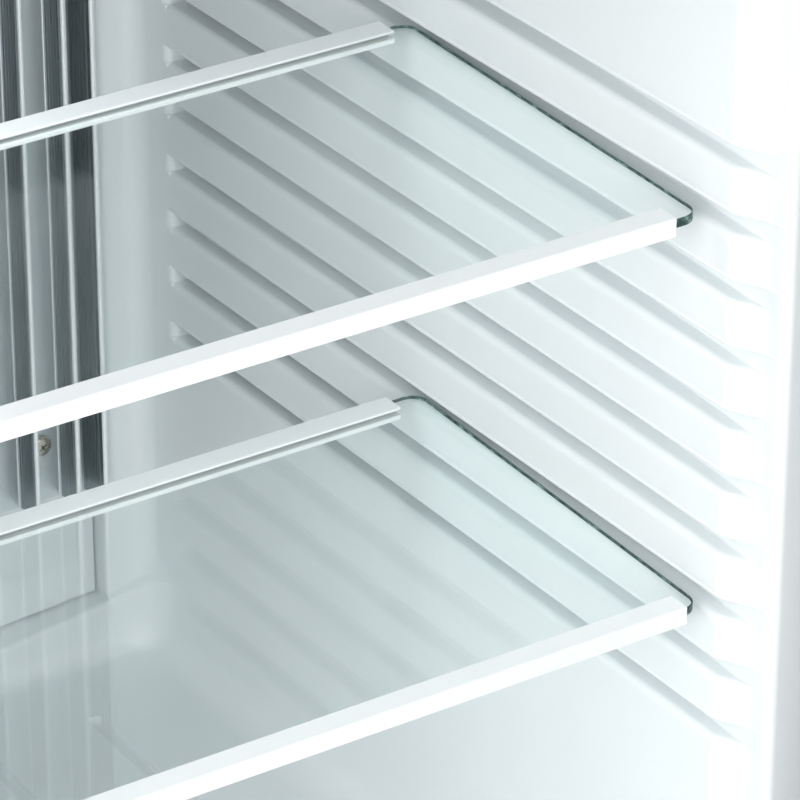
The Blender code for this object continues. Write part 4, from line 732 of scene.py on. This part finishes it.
def fin_outline(place, base_front, tip, root=(0.0, 0.0)):
    """One fin's section with its fine serrations, as (x, y), from its left foot round to its right foot.

    The root is how much thicker the fin is at its foot, on its left and on its right.
    """
    half = FIN_THICKNESS / 2
    foot = FIN_FOOT
    fillet = ((foot, base_front), (foot * 0.55, base_front - foot * 0.10),
              (foot * 0.20, base_front - foot * 0.35), (0.0, base_front - foot))
    left = [(place - half - x, y) for x, y in fillet]
    start = base_front - foot - 0.0004
    run = (start - tip - 0.0016) / FIN_TEETH
    for tooth in range(FIN_TEETH):
        near = start - run * tooth
        left += [(place - half, near), (place - half + FIN_TOOTH_DEPTH, near - run * 0.30),
                 (place - half, near - run * 0.58)]
    left += [(place - half, tip + half * 0.9)]
    left += [(place + half * x, tip + half * 0.9 * (1 - y))
             for x, y in ((-0.93, 0.36), (-0.78, 0.62), (-0.57, 0.82), (-0.32, 0.95), (-0.10, 1.0))]
    right = [(2 * place - x, y) for x, y in reversed(left)]
    length = base_front - tip

    def thickened(points, extra):
        return [(x + extra * (y - tip) / length, y) for x, y in points]

    return thickened(left, -root[0]) + thickened(right, root[1])


def make_cold_plate():
    """The extruded fins, with painted shade on their sides and a painted highlight on their tips, and the
    plate's flat lower end below them.
    """
    start, end = low("cold_plate"), high("cold_plate")
    base_front = end.y - BASE_THICKNESS
    last = FINS_EACH_SIDE * FIN_PITCH + END_FIN_PITCH
    places = [-last] + [index * FIN_PITCH for index in range(-FINS_EACH_SIDE, FINS_EACH_SIDE + 1)] + [last]
    outline = [(start.x, end.y), (start.x, base_front)]
    for place in places:
        root = (END_FIN_ROOT if place == last else 0.0, END_FIN_ROOT if place == -last else 0.0)
        fin = fin_outline(place, base_front, start.y, root)
        outline += [(min(max(x, start.x), end.x), y) for x, y in fin]
    outline += [(end.x, base_front), (end.x, end.y)]
    clean = [outline[0]]
    for point in outline[1:]:
        if math.dist(point, clean[-1]) > 0.00001:
            clean.append(point)
    shape = bmesh.new()
    lower = [shape.verts.new((x, y, FIN_BOTTOM)) for x, y in clean]
    upper = [shape.verts.new((x, y, end.z)) for x, y in clean]
    for index in range(len(clean)):
        after = (index + 1) % len(clean)
        shape.faces.new((lower[index], lower[after], upper[after], upper[index]))
    for ring in (lower, upper):
        for triangle in tessellate_polygon([[corner.co for corner in ring]]):
            shape.faces.new([ring[index] for index in triangle])
    half = FLAT_END_HALF
    ease = FLAT_END_EASE
    base = [(-half, end.y), (-half, base_front + ease), (-half + ease, base_front), (half - ease, base_front),
            (half, base_front + ease), (half, end.y)]
    low_ring = [shape.verts.new((x, y, start.z)) for x, y in base]
    high_ring = [shape.verts.new((x, y, FIN_BOTTOM)) for x, y in base]
    for index in range(len(base)):
        after = (index + 1) % len(base)
        shape.faces.new((low_ring[index], low_ring[after], high_ring[after], high_ring[index]))
    shape.faces.new(low_ring)
    shape.faces.new(high_ring)
    bmesh.ops.recalc_face_normals(shape, faces=shape.faces)
    # The fins' tips get the painted highlight and their sides the painted shade; the base and the flat end
    # keep their own colours
    for face in shape.faces:
        middle = face.calc_center_median()
        if middle.z < FIN_BOTTOM - 0.001:
            face.material_index = FLAT_END_SLOT
        elif middle.y < start.y + FIN_THICKNESS / 2:
            face.material_index = HIGHLIT_FIN_TIP_SLOT
        elif middle.y < base_front - 0.0012:
            face.material_index = SHADED_FIN_SIDE_SLOT
        else:
            face.material_index = ALUMINIUM_SLOT
    plate = object_from("cold_plate_look", shape, MATERIALS["aluminium"], "cabinet", smooth_angle=35)
    for look in ("fin_side_painted_shade", "fin_tip_painted_highlight", "flat_end"):
        plate.data.materials.append(MATERIALS[look])
    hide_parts("cold_plate")


def cross_recess(name, place):
    """The two crossed wedges that cut a screw's recess, as an object."""
    cutter = bmesh.new()
    for quarter in (0, 90):
        arm = bmesh.new()
        bmesh.ops.create_cone(arm, cap_ends=True, segments=4, radius1=SCREW_HEAD_RADIUS * 0.10,
                              radius2=SCREW_HEAD_RADIUS * 0.80, depth=SCREW_HEAD_HEIGHT * 1.4)
        bmesh.ops.scale(arm, vec=(1.0, 0.22, 1.0), verts=arm.verts)
        quarter_turn = Matrix.Rotation(math.radians(quarter), 4, "Z")
        lift = Matrix.Translation((0, 0, SCREW_HEAD_HEIGHT * 0.9))
        bmesh.ops.transform(arm, verts=arm.verts, matrix=place @ quarter_turn @ lift)
        mesh = bpy.data.meshes.new("arm")
        arm.to_mesh(mesh)
        arm.free()
        cutter.from_mesh(mesh)
        bpy.data.meshes.remove(mesh)
    mesh = bpy.data.meshes.new(name)
    cutter.to_mesh(mesh)
    cutter.free()
    return bpy.data.objects.new(name, mesh)


def make_pan_screw(node):
    """A cold plate screw: a pan head with a washer rim and a cross recess, facing the door."""
    start, end = low(node), high(node)
    seat = (start + end) / 2
    seat.y = start.y + SCREW_HEAD_HEIGHT
    shank_end = -abs(end.y - start.y) + SCREW_HEAD_HEIGHT + 0.0002
    shares = ((0.45, 0.97), (0.72, 0.82), (0.88, 0.55), (0.93, 0.28), (0.95, 0.16), (1.0, 0.10))
    profile = [(SCREW_HEAD_RADIUS * across, SCREW_HEAD_HEIGHT * up) for across, up in shares]
    profile += [(SCREW_HEAD_RADIUS, 0.0), (SCREW_SHANK_RADIUS, 0.0), (SCREW_SHANK_RADIUS, shank_end)]
    shape = bmesh.new()
    rings = []
    for radius, height in profile:
        angles = [math.tau * step / SCREW_STEPS for step in range(SCREW_STEPS)]
        rings.append([shape.verts.new((radius * math.cos(angle), radius * math.sin(angle), height))
                      for angle in angles])
    for near, far in zip(rings, rings[1:]):
        for step in range(SCREW_STEPS):
            after = (step + 1) % SCREW_STEPS
            shape.faces.new((near[step], near[after], far[after], far[step]))
    shape.faces.new(rings[0])
    shape.faces.new(rings[-1])
    bmesh.ops.recalc_face_normals(shape, faces=shape.faces)
    into_plate = Vector((0, 1, 0))
    turn = (-into_plate).to_track_quat("Z", "Y").to_matrix().to_4x4()
    place = Matrix.Translation(seat) @ turn @ Matrix.Rotation(math.radians(SCREW_TWIST), 4, "Z")
    bmesh.ops.transform(shape, matrix=place, verts=shape.verts)
    screw = object_from(f"{node}_look", shape, MATERIALS["screw"], body_named(node), weighted=False)
    tool = cross_recess(f"{node}_cross", place)
    bpy.context.scene.collection.objects.link(tool)
    boolean = screw.modifiers.new("cross", "BOOLEAN")
    boolean.operation = "DIFFERENCE"
    boolean.object = tool
    boolean.use_self = True
    depsgraph = bpy.context.evaluated_depsgraph_get()
    final = bpy.data.meshes.new_from_object(screw.evaluated_get(depsgraph))
    screw.modifiers.clear()
    screw.data = final
    bpy.data.objects.remove(tool, do_unlink=True)
    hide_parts(node)


# Light, floor and camera

def make_camera():
    data = bpy.data.cameras.new("camera")
    data.lens = CAMERA_LENS
    data.sensor_width = SENSOR
    data.sensor_fit = "HORIZONTAL"
    data.clip_start = 0.05
    camera = bpy.data.objects.new("camera", data)
    forward = CAMERA_FORWARD.normalized()
    turn = forward.to_track_quat("-Z", "Y").to_matrix().to_4x4()
    roll = Matrix.Rotation(math.radians(CAMERA_ROLL), 4, "Z")
    camera.matrix_world = Matrix.Translation(CAMERA_PLACE) @ turn @ roll
    bpy.context.scene.collection.objects.link(camera)
    bpy.context.scene.camera = camera


def area_light(name, place, target, size, power, colour):
    data = bpy.data.lights.new(name, "AREA")
    data.shape = "RECTANGLE"
    data.size = size[0]
    data.size_y = size[1]
    data.energy = power
    data.color = colour
    light = bpy.data.objects.new(name, data)
    way = Vector(target) - Vector(place)
    light.matrix_world = Matrix.Translation(place) @ way.to_track_quat("-Z", "Y").to_matrix().to_4x4()
    bpy.context.scene.collection.objects.link(light)


def make_world():
    """A pale surround that lights the part, and plain white where the camera sees past everything."""
    world = bpy.data.worlds.new("studio")
    bpy.context.scene.world = world
    world.use_nodes = True
    nodes, links = world.node_tree.nodes, world.node_tree.links
    nodes.clear()
    output = nodes.new("ShaderNodeOutputWorld")
    seen = nodes.new("ShaderNodeBackground")
    seen.inputs["Color"].default_value = (1, 1, 1, 1)
    seen.inputs["Strength"].default_value = 1.0
    lit = nodes.new("ShaderNodeBackground")
    lit.inputs["Color"].default_value = (1.0, 0.99, 0.985, 1)
    lit.inputs["Strength"].default_value = LIT_STRENGTH
    path = nodes.new("ShaderNodeLightPath")
    chosen = nodes.new("ShaderNodeMixShader")
    links.new(path.outputs["Is Camera Ray"], chosen.inputs["Fac"])
    links.new(lit.outputs["Background"], chosen.inputs[1])
    links.new(seen.outputs["Background"], chosen.inputs[2])
    links.new(chosen.outputs["Shader"], output.inputs["Surface"])


def make_floor():
    shape = bmesh.new()
    bmesh.ops.create_grid(shape, x_segments=1, y_segments=1, size=FLOOR_HALF)
    lowest = min(low("front_foot_left").z, low("rear_foot_left").z)
    bmesh.ops.translate(shape, vec=(0, 0, lowest - FLOOR_GAP), verts=shape.verts)
    mesh = bpy.data.meshes.new("floor")
    shape.to_mesh(mesh)
    shape.free()
    floor = bpy.data.objects.new("floor", mesh)
    bpy.context.scene.collection.objects.link(floor)
    mesh.materials.append(surface("floor", (0.80, 0.81, 0.82), 0.7, cloud=0.02, grain=0.02))


# Area lamps: place, target, size in metres, power in watts, and colour
LIGHTS = {
    "front_softbox": ((-0.9, -2.2, 1.5), (0.05, 0.0, 0.25), (1.6, 1.4), 16, (1.0, 0.985, 0.975)),
    "left_softbox": ((-1.7, -0.9, 0.9), (0.15, -0.15, 0.3), (1.2, 1.2), 14.5, (1.0, 0.985, 0.975)),
    "low_softbox": ((-1.6, -1.6, 0.6), (0.15, -0.1, 0.3), (1.2, 1.0), 9, (1.0, 0.985, 0.975)),
    "interior_lamp": ((0.0, -0.035, 0.470), (0.0, -0.035, 0.0), (0.05, 0.055), 0.11, (0.97, 0.99, 1.0)),
}


make_camera()
make_world()
make_floor()
for name, (place, target, size, power, colour) in LIGHTS.items():
    area_light(name, place, target, size, power, colour)
make_liner()
make_shelves()
make_cold_plate()
for corner in ("lower_left", "lower_right", "upper_left", "upper_right"):
    make_pan_screw(f"cold_plate_screw_{corner}")

# Nodes whose own shape gets eased edges: material, and the edges' width in metres
PLAIN = {
    "outer_shell": ("steel", 0.0008), "base_pan": ("zinc", 0.0003), "back_panel": ("zinc", 0.0002),
    "door_panel": ("steel", 0.0012), "door_cap_bottom": ("cap", 0.0015), "door_cap_top": ("cap", 0.0015),
    "door_liner": ("door_lining", 0.0015), "door_gasket": ("gasket", 0.0025),
    "top_hinge_cover": ("cap", 0.0018), "control_housing": ("trim", 0.0015),
    "lower_door_rack": ("clear", 0.0008), "middle_door_rack": ("clear", 0.0008),
    "upper_door_rack": ("clear", 0.0008),
    "drip_tray": ("grey", 0.0006), "mains_box": ("black", 0.001), "mains_box_cover": ("black", 0.0006),
    "mains_inlet": ("black", 0.0005), "coil_bracket": ("zinc", 0.0003), "top_hinge_plate": ("zinc", 0.0005),
    "bottom_hinge_plate": ("zinc", 0.0005), "boiler_can": ("zinc", 0.002), "absorber_vessel": ("paint", 0.004),
    "front_foot_left": ("grey", 0.001), "front_foot_right": ("grey", 0.001), "rear_foot_left": ("grey", 0.001),
    "rear_foot_right": ("grey", 0.001), "thermostat_knob": ("trim", 0.0006),
}
for node, (look, width) in PLAIN.items():
    refine(node, MATERIALS[look], width)

# Nodes that stay as packed, with a material of their own
KEPT = {
    "insulation_foam": "foam", "door_foam": "foam", "drain_spout": "grey", "lamp_lens": "clear",
    "led_board": "board", "thermostat_body": "grey", "door_bush_bottom": "grey", "door_bush_top": "grey",
    "door_handle": "brushed", "top_hinge_pin": "zinc", "bottom_hinge_pin": "zinc", "evaporator_plate": "zinc",
    "evaporator_pipe": "paint", "heater_cartridge": "screw", "absorber_coil": "paint", "return_pipe": "paint",
    "condenser": "paint", "top_hinge_screw_inner": "screw", "top_hinge_screw_outer": "screw",
    "bottom_hinge_screw_inner": "screw", "bottom_hinge_screw_outer": "screw",
}
for node, look in KEPT.items():
    for place in NODES[node].material_slots:
        place.material = MATERIALS[look]

bpy.context.scene.view_settings.view_transform = "Standard"
